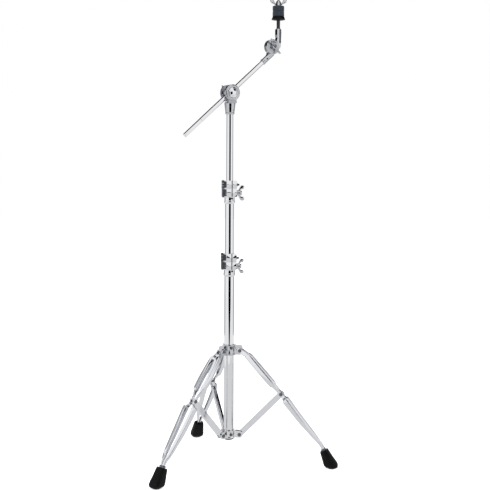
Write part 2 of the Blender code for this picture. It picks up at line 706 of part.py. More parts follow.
def bolt_mesh():
    back = -HEAD_DISC - GAP
    profile = [(0, back - 0.0042), (0.0052, back - 0.0042), (0.0060, back - 0.0032), (0.0060, back)]
    profile += [(0.0035, back), (0.0035, HEAD_DISC + 0.0140), (0, HEAD_DISC + 0.0140)]
    return turned(profile, 16)


def head_arm(axis):
    """The front toothed disc with its upright arm, in a level frame at the tilter's centre."""
    body = put("cymbal_tilter_arm", rod(HEAD_DISC_R, GAP / 2, HEAD_DISC, 32, 0.0009), chrome, axis, rotation=ALONG_Y)
    left, right = ROD_OUT - 0.0070, ROD_OUT + 0.0070
    side = [(left, 0.0), (right - 0.002, 0.0), (right, 0.004), (right, ARM_TOP - 0.0015), (right - 0.0015, ARM_TOP)]
    side += [(left + 0.0015, ARM_TOP), (left, ARM_TOP - 0.0015)]
    post = plate([(x, y) for x, y in side], -0.0040, 0.0080)
    post_thing = put("cymbal_tilter_post", post, None, axis, rotation=ALONG_Y)
    combine(body, post_thing, "UNION")
    room = put("cymbal_tilter_arm_room", rod(HEAD_DISC_R + 0.0015, -0.03, GAP / 2, 32), None, axis, rotation=ALONG_Y)
    combine(body, room, "DIFFERENCE")
    hole = put("cymbal_tilter_arm_bolt_bore", rod(0.0035 + GAP, -0.03, 0.03), None, axis, rotation=ALONG_Y)
    combine(body, hole, "DIFFERENCE")
    socket = put("cymbal_tilter_rod_bore", rod(ROD_R + GAP, ARM_TOP - 0.016, ARM_TOP + 0.01), None, axis)
    socket.location = (ROD_OUT, -ROD_FRONT, 0)
    combine(body, socket, "DIFFERENCE")


def head_stack(axis):
    """Everything on the cymbal rod, from the seat washer up to the top wing nut."""
    stack = empty("cymbal_rod_axis", axis, (ROD_OUT, -ROD_FRONT, 0))
    top = STACK_Z + 2 * FELT_THICK + 2 * GAP
    put("cymbal_rod", rod(ROD_R, ARM_TOP - 0.0155, top + 0.0165, 16, 0.0006), steel, stack)
    sleeve_profile = [(ROD_R + GAP, ARM_TOP + GAP), (SLEEVE_R + 0.0006, ARM_TOP + GAP), (SLEEVE_R, SEAT_Z)]
    sleeve_profile += [(SLEEVE_R, top - 0.001), (ROD_R + GAP, top - 0.001)]
    put("cymbal_sleeve", turned(sleeve_profile, 20, closed=True), plastic, stack)
    bore = SLEEVE_R + GAP
    low = SEAT_Z
    seat = [(bore, low + 0.0030), (0.0095, low + 0.0030), (0.0150, low + 0.0015), (0.0192, low - 0.0004)]
    seat += [(0.0194, low + 0.0012), (0.0170, low + 0.0060), (0.0120, STACK_Z - GAP), (bore, STACK_Z - GAP)]
    put("seat_washer", turned(seat, 28, closed=True), rubber, stack)
    for k, name in enumerate(("lower_felt", "upper_felt")):
        base = STACK_Z + k * (FELT_THICK + GAP)
        put(name, ring(bore, FELT_R, base, base + FELT_THICK, 28, 0.0018), felt, stack)
    wing_nut("top_wing_nut", stack, (0, 0, top), (0, 0, radians(-28)), 0.0450, 0.0215, 0.0080, ROD_R)


def cymbal_tilter(tilt, frame):
    head_socket(tilt)
    out = HEAD_ALONG * cos(BOOM_ELEVATION) - HEAD_ABOVE * sin(BOOM_ELEVATION)
    up = HEAD_ALONG * sin(BOOM_ELEVATION) + HEAD_ABOVE * cos(BOOM_ELEVATION)
    axis = empty("cymbal_tilt_axis", frame, (out, 0, up))
    head_arm(axis)
    front = -HEAD_DISC - GAP
    wing_nut("cymbal_tilter_wing_nut", axis, (0, front, 0), (pi / 2, radians(-58), 0), 0.0500, 0.0190, 0.0075, 0.0035)
    head_stack(axis)


def centre_over_origin(root):
    """Moves the stand so that its box is centred over the origin, with the feet on Z = 0."""
    bpy.context.view_layer.update()
    depsgraph = bpy.context.evaluated_depsgraph_get()
    corners = []
    for thing in bpy.data.objects:
        if thing.type == "MESH" and not thing.hide_render:
            solid = thing.evaluated_get(depsgraph)
            corners += [solid.matrix_world @ vert.co for vert in solid.data.vertices]
    for axis in (0, 1):
        values = [corner[axis] for corner in corners]
        root.location[axis] = -(min(values) + max(values)) / 2


def main():
    clear_scene()
    root = empty("cymbal_boom_stand")
    tube("base_tube", root, BASE_TUBE_R, TUBE_WALL, BASE_TUBE_Z)
    base_plug(root)
    casting("leg_hub", root, HUB_Z, HUB_RING_R, 0.0085, BRACE_HALF + GAP, 0.0400)
    set_screw("hub_screw", root, radians(-70.4), HUB_RING_R, sum(HUB_Z) / 2)
    casting("leg_collar", root, COLLAR_Z, COLLAR_RING_R, LUG_HALF, 0, 0.0385)
    set_screw("collar_screw", root, radians(-70.4), COLLAR_RING_R, COLLAR_PIVOT_Z + 0.008)
    for name in LEG_ANGLES:
        leg(name, root)
    tube("middle_tube", root, MIDDLE_TUBE_R, TUBE_WALL, MIDDLE_TUBE_Z)
    tube("upper_tube", root, UPPER_TUBE_R, TUBE_WALL, UPPER_TUBE_Z)
    height_clamp("lower", root, LOWER_CLAMP_Z, BASE_TUBE_R, MIDDLE_TUBE_R, 0.0172)
    height_clamp("upper", root, UPPER_CLAMP_Z, MIDDLE_TUBE_R, UPPER_TUBE_R, 0.0155)
    frame = empty("boom_frame", root, (0, 0, BOOM_PIVOT_Z), (0, 0, BOOM_TURN))
    tilt = boom_tilter(frame)
    boom(tilt)
    cymbal_tilter(tilt, frame)
    centre_over_origin(root)


main()
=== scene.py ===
"""The finished look of a folding cymbal boom stand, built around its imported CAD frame.

Every length is in metres, in the frame's own axes: +Z up, +Y away from the viewer. The order is
places, mesh tools, materials, one function for each sub-part, and last the studio and the camera.
"""

import json
from math import atan2, cos, pi, radians, sin, sqrt, tan

import bmesh
import bpy
from mathutils import Euler, Matrix, Vector, noise


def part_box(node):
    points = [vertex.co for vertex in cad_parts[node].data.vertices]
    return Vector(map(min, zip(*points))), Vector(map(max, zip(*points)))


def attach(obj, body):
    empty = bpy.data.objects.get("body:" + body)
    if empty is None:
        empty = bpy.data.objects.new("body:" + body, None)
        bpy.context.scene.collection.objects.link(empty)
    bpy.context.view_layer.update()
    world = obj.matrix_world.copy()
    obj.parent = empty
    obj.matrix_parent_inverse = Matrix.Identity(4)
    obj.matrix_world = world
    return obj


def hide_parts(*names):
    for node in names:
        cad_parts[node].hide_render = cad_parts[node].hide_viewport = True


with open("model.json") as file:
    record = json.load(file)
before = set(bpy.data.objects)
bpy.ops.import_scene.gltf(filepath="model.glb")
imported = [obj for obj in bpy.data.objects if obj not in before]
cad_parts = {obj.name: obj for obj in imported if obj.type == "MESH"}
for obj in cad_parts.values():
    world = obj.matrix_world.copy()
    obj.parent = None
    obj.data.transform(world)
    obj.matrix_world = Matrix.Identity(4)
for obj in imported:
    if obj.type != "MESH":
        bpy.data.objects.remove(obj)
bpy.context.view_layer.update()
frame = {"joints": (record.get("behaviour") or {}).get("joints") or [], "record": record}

# ---------------------------------------------------------------- places, read from the frame

RECORD = frame["record"]
BODY_OF = {node: body for body, nodes in RECORD["behaviour"]["bodies"].items() for node in nodes}
SLOT_OF = {part["node"]: part["material_slot"] for part in RECORD["subparts"]}
JOINTS = {joint["name"]: joint for joint in frame["joints"]}
LEGS = ("right", "left", "rear")


def middle(node):
    low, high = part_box(node)
    return (low + high) / 2


def spread(node):
    low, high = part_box(node)
    return high - low


def bottom(node):
    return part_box(node)[0].z


def top(node):
    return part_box(node)[1].z


def joint_place(name):
    """A joint's pivot."""
    return Vector(JOINTS[name]["pos_m"])


def joint_axis(name):
    return Vector(JOINTS[name]["axis"]).normalized()


def move(x=0.0, y=0.0, z=0.0):
    return Matrix.Translation((x, y, z))


def turn(angle, axis):
    return Matrix.Rotation(angle, 4, axis)


def axes(origin, x, y):
    """A place whose X and Y point along x and y."""
    x, y = x.normalized(), y.normalized()
    z = x.cross(y)
    rotation = Matrix((x, y, z)).transposed().to_4x4()
    return Matrix.Translation(origin) @ rotation


# Turns that stand a drawing up: X and Y into X and Z, or into Y and Z; and turns for a lathed part
UPRIGHT = turn(pi / 2, "X")
INTO_YZ = turn(pi / 2, "Z") @ UPRIGHT
Z_ALONG_X = turn(pi / 2, "Y")
Z_ALONG_Y = turn(-pi / 2, "X")

# The middle of the base tube, whose axis all tubes share, and the tubes' radii
AXIS = middle("base_tube")
STAND = move(AXIS.x, AXIS.y)
BASE_R = spread("base_tube").x / 2
MIDDLE_R = spread("middle_tube").x / 2
UPPER_R = spread("upper_tube").x / 2
TUBE_WALL = 0.0012
# The clearance between parts that touch
GAP = 0.0003

# The turn that brings each leg's plane, drawn in X and Z, to its place
LEG_TURN = {}
for leg_name in LEGS:
    outward = middle(f"{leg_name}_hub_pin") - AXIS
    LEG_TURN[leg_name] = turn(atan2(outward.y, outward.x), "Z")


def in_leg_plane(node):
    """The middle of one of the right leg's nodes, in that leg's own plane."""
    local = (STAND @ LEG_TURN["right"]).inverted() @ middle(node)
    return Vector((local.x, local.z))


# The tripod's pivots and sizes, alike for each leg; places are (out from the axis, height)
HUB_PIVOT = in_leg_plane("right_hub_pin")
COLLAR_PIVOT = in_leg_plane("right_collar_pin")
KNEE = in_leg_plane("right_knee_pin")
LINK = KNEE - HUB_PIVOT
PAD = next(mount for mount in RECORD["mounts"] if mount["name"] == "right_foot_pad")
FOOT_R = (Vector(PAD["pos_m"]) - Vector((AXIS.x, AXIS.y, 0))).length
FOOT_TOP = Vector((FOOT_R - 0.0207, 0.0468))
FOOT_TILT = radians(24)
PIN_R = 0.0030
LUG_HALF = 0.0060
BRACE_HALF = 0.0050
EAR = 0.0030
HUB_RING_R = 0.0200
COLLAR_RING_R = 0.0190
LUG_REACH = 0.0072
BEAD_RISE = 0.0009
# How finely the rails are swept, and the first and last swept row under the gusset
RAIL_STEPS = 5
GUSSET_ROWS = (21, 29)

# The height clamps and memory locks, seen from above: the ears' outer sides, front and root, the
# clamp screw, the slit, and the hinge knuckle beyond the band's left side
EAR_X = (-0.0085, 0.0205)
EAR_FRONT = -0.0300
EAR_ROOT = radians(236)
LOCK_FRONT = EAR_FRONT + 0.001
LOCK_SPLIT = radians(166)
SCREW_Y = -0.0225
SLIT_X = (0.0060, 0.0080)
KNUCKLE_Y = 0.0050
KNUCKLE_R = 0.0042
KNUCKLE_OUT = 0.0024
CLAMP_SKIRT = 0.0195

# The boom tilter and the cymbal tilter: X along the boom, or level along its direction on the floor
TOWARDS_VIEWER = joint_axis("boom_tilt")
BOOM_AXIS = joint_axis("boom_turn")
LEVEL_AXIS = Vector((BOOM_AXIS.x, BOOM_AXIS.y, 0)).normalized()
BOOM = axes(joint_place("boom_tilt"), BOOM_AXIS, -TOWARDS_VIEWER)
BOOM_LEVEL = axes(joint_place("boom_tilt"), LEVEL_AXIS, -TOWARDS_VIEWER)
HEAD_LEVEL = axes(joint_place("cymbal_tilt"), LEVEL_AXIS, -TOWARDS_VIEWER)
STACK = axes(joint_place("top_wing_nut_turn"), LEVEL_AXIS, -TOWARDS_VIEWER)
HEAD_ALONG = (BOOM.inverted() @ joint_place("cymbal_tilt")).x
HEAD_ABOVE = (BOOM.inverted() @ joint_place("cymbal_tilt")).z
HEAD_CENTRE = move(HEAD_ALONG, 0, HEAD_ABOVE)
BOOM_R = 0.00635
BUSHING_WALL = 0.0008
BOOM_SPAN = (-0.1860, 0.1560)
TILTER_R = 0.0228
TILTER_GAP = 0.0100
TILTER_DISC = 0.0085
HEAD_R = 0.0215
HEAD_DISC = 0.0084
ROD_OUT = 0.0200
ROD_R = 0.0038
SLEEVE_R = 0.0050
FELT_R = 0.0166
ARM_TOP = 0.0520
ARM_HALF = 0.0070


# ---------------------------------------------------------------- mesh tools


def arc(centre, radius, start, end, steps):
    angles = [start + (end - start) * k / steps for k in range(steps + 1)]
    return [(centre[0] + radius * cos(a), centre[1] + radius * sin(a)) for a in angles]


def rectangle(left, low, right, high):
    """Four corners, in the order in which fillet takes their radii."""
    return [(left, low), (right, low), (right, high), (left, high)]


def circle(centre, radius, steps=40):
    return arc(centre, radius, 0, 2 * pi * (steps - 1) / steps, steps - 1)


def fillet(points, radius, steps=4, closed=True):
    """Rounds an outline's corners. radius is one length, or one for each corner, where 0 stays sharp."""
    radii = radius if isinstance(radius, (list, tuple)) else [radius] * len(points)
    out = []
    for k, point in enumerate(points):
        here = Vector(point)
        ends = not closed and k in (0, len(points) - 1)
        if ends or radii[k] <= 0:
            out.append((here.x, here.y))
            continue
        before = Vector(points[k - 1]) - here
        after = Vector(points[(k + 1) % len(points)]) - here
        start = before.normalized() * min(radii[k], before.length * 0.5)
        end = after.normalized() * min(radii[k], after.length * 0.5)
        for step in range(steps + 1):
            t = step / steps
            corner = here + start * (1 - t) ** 2 + end * t**2
            out.append((corner.x, corner.y))
    return out


def skin(rows, joined=False, caps=True):
    """A surface through closed rows of points. Its ends are capped, or joined to each other."""
    bm = bmesh.new()
    loops = [[bm.verts.new(point) for point in row] for row in rows]
    pairs = list(zip(loops, loops[1:]))
    if joined:
        pairs.append((loops[-1], loops[0]))
    elif caps:
        bm.faces.new(loops[0][::-1])
        bm.faces.new(loops[-1])
    for first, second in pairs:
        for k in range(len(first)):
            after = (k + 1) % len(first)
            bm.faces.new((first[k], first[after], second[after], second[k]))
    bmesh.ops.remove_doubles(bm, verts=bm.verts[:], dist=1e-7)
    bmesh.ops.recalc_face_normals(bm, faces=bm.faces[:])
    return bm


def lathe(profile, segments=72, joined=False):
    """Turns (radius, height) points about Z. A joined profile is a closed ring."""
    rows = []
    for radius, height in profile:
        rows.append([(radius * cos(a), radius * sin(a), height) for a in steps_round(segments)])
    return skin(rows, joined, caps=False)


def turned(profile, rounding, steps, segments=72, ring=False):
    """A lathed profile with rounded corners. A ring's profile is closed."""
    return lathe(fillet(profile, rounding, steps, ring), segments, ring)


def drill(radius, segments):
    """A long cutter for a round hole."""
    return lathe(rectangle(0, -0.04, radius, 0.04), segments)


def steps_round(count):
    return [2 * pi * k / count for k in range(count)]


def prism(outline, low, high, holes=()):
    """An outline in X and Y, with holes, pulled up from low to high."""
    bm = bmesh.new()
    edges = []
    for loop in (outline, *holes):
        verts = [bm.verts.new((x, y, low)) for x, y in loop]
        edges += [bm.edges.new(pair) for pair in zip(verts, verts[1:] + verts[:1])]
    bmesh.ops.triangle_fill(bm, edges=edges, use_beauty=True)
    lifted = bmesh.ops.extrude_face_region(bm, geom=bm.faces[:])["geom"]
    verts = [item for item in lifted if isinstance(item, bmesh.types.BMVert)]
    bmesh.ops.translate(bm, verts=verts, vec=(0, 0, high - low))
    bmesh.ops.recalc_face_normals(bm, faces=bm.faces[:])
    return bm


def add(bm, other, place=Matrix()):
    """Puts another mesh, moved to its place, into bm."""
    other.transform(place)
    mesh = bpy.data.meshes.new("part")
    other.to_mesh(mesh)
    other.free()
    bm.from_mesh(mesh)
    bpy.data.meshes.remove(mesh)
    return bm


def cut(bm, other, place):
    """What is left of a closed mesh when another one, moved to its place, is cut out of it."""
    other.transform(place)
    things = []
    for each in (bm, other):
        mesh = bpy.data.meshes.new("solid")
        each.to_mesh(mesh)
        each.free()
        thing = bpy.data.objects.new("solid", mesh)
        bpy.context.scene.collection.objects.link(thing)
        things.append(thing)
    modifier = things[0].modifiers.new("cut", "BOOLEAN")
    modifier.object = things[1]
    modifier.operation = "DIFFERENCE"
    solid = things[0].evaluated_get(bpy.context.evaluated_depsgraph_get())
    result = bmesh.new()
    result.from_mesh(solid.to_mesh())
    solid.to_mesh_clear()
    for thing in things:
        mesh = thing.data
        bpy.data.objects.remove(thing)
        bpy.data.meshes.remove(mesh)
    return result


def piece(name, bm, look, body, place, rounding=0.0, smooth=40):
    """A named piece that rides on a body. rounding is the radius that its edges get."""
    if rounding:
        bmesh.ops.dissolve_limit(bm, angle_limit=radians(0.4), verts=bm.verts[:], edges=bm.edges[:])
    mesh = bpy.data.meshes.new(name)
    bm.to_mesh(mesh)
    bm.free()
    mesh.materials.append(look)
    mesh.shade_smooth()
    thing = bpy.data.objects.new(name, mesh)
    bpy.context.scene.collection.objects.link(thing)
    thing.matrix_world = place
    if rounding:
        bevel = thing.modifiers.new("rounded edges", "BEVEL")
        bevel.width = rounding
        bevel.segments = 3
        bevel.limit_method = "ANGLE"
        bevel.angle_limit = radians(24)
        bevel.harden_normals = True
    else:
        mesh.set_sharp_from_angle(angle=radians(smooth))
    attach(thing, body)
    return thing


def finish(node, bm, place, rounding=0.0, smooth=40, look=None):
    """The finished piece that stands for a CAD node, with its node's body and material slot."""
    slot = SLOT_OF[node]
    material = LOOKS[look or slot]
    thing = piece(f"{node}_finish", bm, material, BODY_OF[node], place, rounding, smooth)
    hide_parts(node)
    return thing


def detail(name, bm, look, body, place, rounding=0.0):
    """A small piece that has no CAD node of its own, on the body that carries it."""
    piece(name, bm, LOOKS[look], body, place, rounding)


# ---------------------------------------------------------------- materials


class Look:
    """A Principled material with short calls for the textures that drive it."""

    def __init__(self, name, colour, metallic, roughness):
        self.material = bpy.data.materials.new(name)
        self.material.use_nodes = True
        self.nodes = self.material.node_tree.nodes
        self.links = self.material.node_tree.links
        self.shader = self.nodes["Principled BSDF"]
        self.shader.inputs["Base Color"].default_value = (*colour, 1)
        self.shader.inputs["Metallic"].default_value = metallic
        self.shader.inputs["Roughness"].default_value = roughness
        self.place = self.nodes.new("ShaderNodeTexCoord").outputs["Object"]

    def noise(self, scale, detail=3.0, stretch=(1, 1, 1)):
        mapping = self.nodes.new("ShaderNodeMapping")
        mapping.inputs["Scale"].default_value = stretch
        texture = self.nodes.new("ShaderNodeTexNoise")
        texture.inputs["Scale"].default_value = scale
        texture.inputs["Detail"].default_value = detail
        self.links.new(self.place, mapping.inputs["Vector"])
        self.links.new(mapping.outputs["Vector"], texture.inputs["Vector"])
        return texture.outputs["Fac"]

    def spread(self, value, low, high):
        """Maps the middle of a noise onto low to high."""
        node = self.nodes.new("ShaderNodeMapRange")
        node.inputs["From Min"].default_value = 0.3
        node.inputs["From Max"].default_value = 0.7
        node.inputs["To Min"].default_value = low
        node.inputs["To Max"].default_value = high
        self.links.new(value, node.inputs["Value"])
        return node.outputs["Result"]

    def ramp(self, value, stops):
        node = self.nodes.new("ShaderNodeValToRGB")
        elements = node.color_ramp.elements
        while len(elements) < len(stops):
            elements.new(0.5)
        for element, (position, colour) in zip(elements, stops):
            element.position = position
            element.color = (*colour, 1)
        self.links.new(value, node.inputs["Fac"])
        return node.outputs["Color"]

    def product(self, first, second):
        node = self.nodes.new("ShaderNodeMath")
        node.operation = "MULTIPLY"
        self.links.new(first, node.inputs[0])
        self.links.new(second, node.inputs[1])
        return node.outputs["Value"]

    def drive(self, socket, value):
        self.links.new(value, self.shader.inputs[socket])

    def bump(self, value, depth, strength=1.0):
        node = self.nodes.new("ShaderNodeBump")
        node.inputs["Distance"].default_value = depth
        node.inputs["Strength"].default_value = strength
        self.links.new(value, node.inputs["Height"])
        self.links.new(node.outputs["Normal"], self.shader.inputs["Normal"])


def shade(colour, factor):
    return tuple(channel * factor for channel in colour)


def chrome(name, colour, grain, stretch, smudge=(0.030, 0.075), ripple=0.00001):
    """Bright plating: polish marks along the part, faint handling smudges and a little orange peel."""
    look = Look(name, colour, 1.0, 0.05)
    marks = look.noise(grain, 4.0, stretch)
    look.drive("Base Color", look.ramp(marks, [(0.25, shade(colour, 0.95)), (0.6, colour)]))
    look.drive("Roughness", look.spread(look.noise(38.0, 5.0), *smudge))
    look.bump(look.noise(160.0, 1.0), ripple)
    return look.material


def steel(name, colour, roughness=(0.22, 0.38)):
    """Zinc plate: fine turning lines and a cloudy, satin sheen."""
    look = Look(name, colour, 1.0, 0.3)
    cloud = look.noise(300.0, 4.0)
    look.drive("Base Color", look.ramp(cloud, [(0.3, shade(colour, 0.8)), (0.7, colour)]))
    look.drive("Roughness", look.spread(cloud, *roughness))
    look.bump(look.noise(900.0, 2.0, (0.2, 0.2, 4.0)), 0.00004, 0.5)
    return look.material


def rubber(name, colour):
    """Moulded rubber: a dusty bloom in patches over a fine pebbled skin."""
    look = Look(name, colour, 0.0, 0.5)
    look.shader.inputs["Specular IOR Level"].default_value = 0.10
    bloom = look.noise(70.0, 6.0)
    look.drive("Base Color", look.ramp(bloom, [(0.35, colour), (0.75, shade(colour, 2.2))]))
    look.drive("Roughness", look.spread(bloom, 0.34, 0.52))
    look.bump(look.noise(1500.0, 3.0), 0.00009, 0.6)
    return look.material


def plastic(name, colour):
    """Black nylon: a slight mottle with a fine eroded texture."""
    look = Look(name, colour, 0.0, 0.4)
    look.shader.inputs["Specular IOR Level"].default_value = 0.35
    mottle = look.noise(180.0, 4.0)
    look.drive("Base Color", look.ramp(mottle, [(0.3, colour), (0.7, shade(colour, 1.7))]))
    look.drive("Roughness", look.spread(mottle, 0.30, 0.45))
    look.bump(look.noise(2600.0, 2.0), 0.00004, 0.5)
    return look.material


def felt(name, colour):
    """Pressed wool: tangled fibres in two sizes, with painted shade in the hollows of their bump, and a
    soft sheen.
    """
    look = Look(name, colour, 0.0, 0.95)
    look.shader.inputs["Specular IOR Level"].default_value = 0.12
    fibres = look.product(look.noise(1500.0, 8.0, (1, 1, 2.4)), look.noise(420.0, 6.0, (2.2, 1, 1)))
    # The fibre noise sets the fibres' own tone and also painted shade: the colour darkens where the bump
    # sinks into hollows
    stops = [(0.10, shade(colour, 0.35)), (0.26, colour), (0.42, shade(colour, 2.3))]
    look.drive("Base Color", look.ramp(fibres, stops))
    look.shader.inputs["Sheen Weight"].default_value = 0.10
    look.shader.inputs["Sheen Roughness"].default_value = 0.6
    look.shader.inputs["Sheen Tint"].default_value = (0.6, 0.66, 0.8, 1)
    look.bump(fibres, 0.0008, 0.9)
    return look.material


LOOKS = {
    "chrome_tube": chrome("chrome_tube", (0.82, 0.83, 0.85), 30.0, (9, 9, 0.25), (0.020, 0.050), 0.000004),
    "chrome_cast": chrome("chrome_cast", (0.80, 0.81, 0.83), 260.0, (1, 1, 1), (0.035, 0.090), 0.00003),
    "chrome_strip": chrome("chrome_strip", (0.80, 0.81, 0.84), 90.0, (1, 4, 0.6), (0.040, 0.100), 0.00002),
    "bare_steel": steel("bare_steel", (0.20, 0.205, 0.22)),
    "foot_rubber": rubber("foot_rubber", (0.0022, 0.0022, 0.0026)),
    "black_plastic": plastic("black_plastic", (0.012, 0.012, 0.014)),
    "grey_felt": felt("grey_felt", (0.020, 0.024, 0.032)),
    # Dark steel: the own colour of the screws, pins and stud, and painted shade on the hinge leaves
    "dark_steel_and_shade": steel("dark_steel_and_shade", (0.075, 0.08, 0.095), (0.18, 0.30)),
    # A darker copy of chrome_cast: painted shade for the collar, wing nuts, boom base, boom socket and arm
    "chrome_half_shade": chrome("chrome_half_shade", (0.56, 0.57, 0.60), 260.0, (1, 1, 1), (0.035, 0.090), 0.00003),
    # A much darker copy of chrome_cast: painted shade for the boom base's neck, the back plate, the rear
    # disc, the socket web and the friction washer
    "chrome_deep_shade": chrome("chrome_deep_shade", (0.40, 0.41, 0.44), 260.0, (1, 1, 1), (0.04, 0.10), 0.00003),
    # A darker, smoother copy of steel: painted shade for the hinge knuckles and the ankle straps
    "painted_shade_steel": steel("painted_shade_steel", (0.16, 0.17, 0.20), (0.12, 0.24)),
    "rod_steel": steel("rod_steel", (0.30, 0.31, 0.33), (0.20, 0.32)),
}


# ---------------------------------------------------------------- tubes


def tube(node, radius):
    """A drawn tube with turned lips at both ends."""
    section = rectangle(radius - TUBE_WALL, bottom(node), radius, top(node))
    finish(node, turned(section, 0.0005, 3, 96, ring=True), STAND)


def tube_plug():
    """The rubber cap under the base tube: a dished underside, a grooved rim and a stem in the tube."""
    low, step, high = bottom("tube_plug"), bottom("base_tube") - GAP, top("tube_plug")
    stem = BASE_R - TUBE_WALL - GAP
    profile = [(0, low + 0.0006), (BASE_R * 0.5, low + 0.0006), (BASE_R * 0.56, low), (BASE_R, low)]
    profile += [(BASE_R, low + 0.0012), (BASE_R - 0.0006, low + 0.0017), (BASE_R, low + 0.0022)]
    profile += [(BASE_R, step), (stem, step), (stem, high), (0, high)]
    finish("tube_plug", turned(profile, 0.0004, 3), STAND)


# ---------------------------------------------------------------- tripod


def band(outer, low, high, bead):
    """A cast band's section on the base tube, with a raised bead along each edge."""
    bore = BASE_R + GAP
    waist = outer - BEAD_RISE
    side = [(outer, low), (outer, low + bead), (waist, low + bead + 0.0012)]
    side += [(waist, high - bead - 0.0012), (outer, high - bead), (outer, high)]
    return fillet([(bore, low), *side, (bore, high)], 0.0008, 4)


def lug_plate(inner, outer, low, high, pivot, half, corner):
    """An upright lug with a round nose and a hole for its pin."""
    outline = fillet(rectangle(inner, low, outer, high), [0, corner, corner, 0], 8)
    bm = prism(outline, -half, half, [circle(pivot, PIN_R + GAP)])
    bm.transform(UPRIGHT)
    return bm


def leg_hub():
    """The casting at the tube's lower end: a band with two cheeks and a bridge for each brace."""
    low, high = bottom("leg_hub"), top("leg_hub")
    body = lathe(band(HUB_RING_R, low, high, 0.0032), joined=True)
    cheek = 0.0016
    reach = HUB_PIVOT.x + LUG_REACH + 0.0010
    bridge = fillet(rectangle(0.0170, -0.0066, 0.0235, 0.0066), 0.001, 2)
    for leg in LEGS:
        for side in (-1, 1):
            plate = lug_plate(0.0170, reach, low + 0.0008, high - 0.0008, HUB_PIVOT, cheek, 0.0075)
            add(body, plate, LEG_TURN[leg] @ move(y=side * (BRACE_HALF + GAP + cheek)))
        add(body, prism(bridge, low + 0.0050, low + 0.0075), LEG_TURN[leg])
    finish("leg_hub", body, STAND, 0.0006)


def leg_collar():
    """The casting that the legs hang from: a band with a ribbed lug for each leg."""
    low, high = bottom("leg_collar"), top("leg_collar")
    body = lathe(band(COLLAR_RING_R, low, high, 0.0042), joined=True)
    reach = COLLAR_PIVOT.x + LUG_REACH - 0.0005
    rib = fillet([(0.0165, low + 0.004), (0.0262, low + 0.009), (0.0165, high - 0.004)], 0.001, 2)
    for leg in LEGS:
        plate = lug_plate(0.0165, reach, low + 0.0010, high - 0.0010, COLLAR_PIVOT, LUG_HALF, 0.0085)
        add(body, plate, LEG_TURN[leg])
        for side in (-1, 1):
            place = LEG_TURN[leg] @ move(y=side * (LUG_HALF + 0.0008)) @ UPRIGHT
            add(body, prism(rib, -0.0009, 0.0009), place)
    # The collar's darker chrome is painted shade
    finish("leg_collar", body, STAND, 0.0008, look="chrome_half_shade")


def square_head(half, low, high):
    """A key screw's square head, chamfered at its end."""
    rows = []
    for height, size in ((low, half), (high - 0.0008, half), (high, half * 0.80)):
        rows.append([(x, y, height) for x, y in rectangle(-size, -size, size, size)])
    return skin(rows)


def set_screw(node, ring_r):
    """A square-headed key screw that stands out from a band's waist, over a round boss."""
    outward = middle(node) - AXIS
    angle = atan2(outward.y, outward.x)
    boss = [(0, 0), (0.0046, 0), (0.0046, 0.0010), (0.0026, 0.0014), (0, 0.0014)]
    body = turned(boss, 0.0003, 3, 40)
    add(body, square_head(0.0023, 0.0010, 0.0052))
    place = STAND @ turn(angle, "Z") @ move(x=ring_r - BEAD_RISE + GAP, z=middle(node).z) @ Z_ALONG_X
    finish(node, body, place, 0.0002)


def rail_bends():
    """Rows of (out, up, sideways centre, half width, half depth) down one leg rail."""
    ear = LUG_HALF + GAP + EAR / 2
    knee_ear = BRACE_HALF + GAP + EAR / 2
    slope = Vector((0.0252, -0.0165)).normalized()

    def below(pivot, out, down, aside, half_width, half_depth):
        return (pivot.x + out, pivot.y - down, aside, half_width, half_depth)

    def by_foot(out, up, aside, half_width, half_depth):
        return (FOOT_TOP.x + out, FOOT_TOP.y + up, aside, half_width, half_depth)

    return [
        below(COLLAR_PIVOT, -slope.x * 0.0066, slope.y * 0.0066, ear, EAR / 2, 0.0040),
        below(COLLAR_PIVOT, -slope.x * 0.0045, slope.y * 0.0045, ear, EAR / 2, 0.0062),
        below(COLLAR_PIVOT, 0, 0, ear, EAR / 2, 0.0070),
        below(COLLAR_PIVOT, slope.x * 0.0090, -slope.y * 0.0090, ear, EAR / 2, 0.0070),
        below(COLLAR_PIVOT, 0.0180, 0.0111, 0.0086, 0.0034, 0.0060),
        below(COLLAR_PIVOT, 0.0235, 0.0154, 0.0100, 0.0050, 0.0080),
        below(COLLAR_PIVOT, 0.0340, 0.0260, 0.0112, 0.0052, 0.0082),
        below(COLLAR_PIVOT, 0.0682, 0.0648, 0.0142, 0.0052, 0.0080),
        below(KNEE, -0.0254, -0.0281, 0.0132, 0.0052, 0.0078),
        below(KNEE, -0.0196, -0.0216, 0.0112, 0.0034, 0.0048),
        below(KNEE, -0.0095, -0.0108, knee_ear + 0.0005, EAR / 2, 0.0050),
        below(KNEE, 0, 0, knee_ear, EAR / 2, 0.0056),
        below(KNEE, 0.0068, 0.0083, knee_ear + 0.0005, EAR / 2, 0.0052),
        below(KNEE, 0.0112, 0.0138, 0.0130, 0.0040, 0.0056),
        below(KNEE, 0.0150, 0.0185, 0.0158, 0.0052, 0.0080),
        by_foot(-0.0698, 0.0904, 0.0142, 0.0052, 0.0070),
        by_foot(-0.0328, 0.0472, 0.0106, 0.0050, 0.0054),
        by_foot(-0.0198, 0.0316, 0.0090, 0.0046, 0.0044),
        by_foot(-0.0098, 0.0192, 0.0056, 0.0032, 0.0046),
        by_foot(-0.0038, 0.0084, 0.0040, 0.0026, 0.0044),
        by_foot(0.0014, -0.0032, 0.0038, 0.0024, 0.0042),
        by_foot(0.0050, -0.0112, 0.0038, 0.0024, 0.0042),
    ]


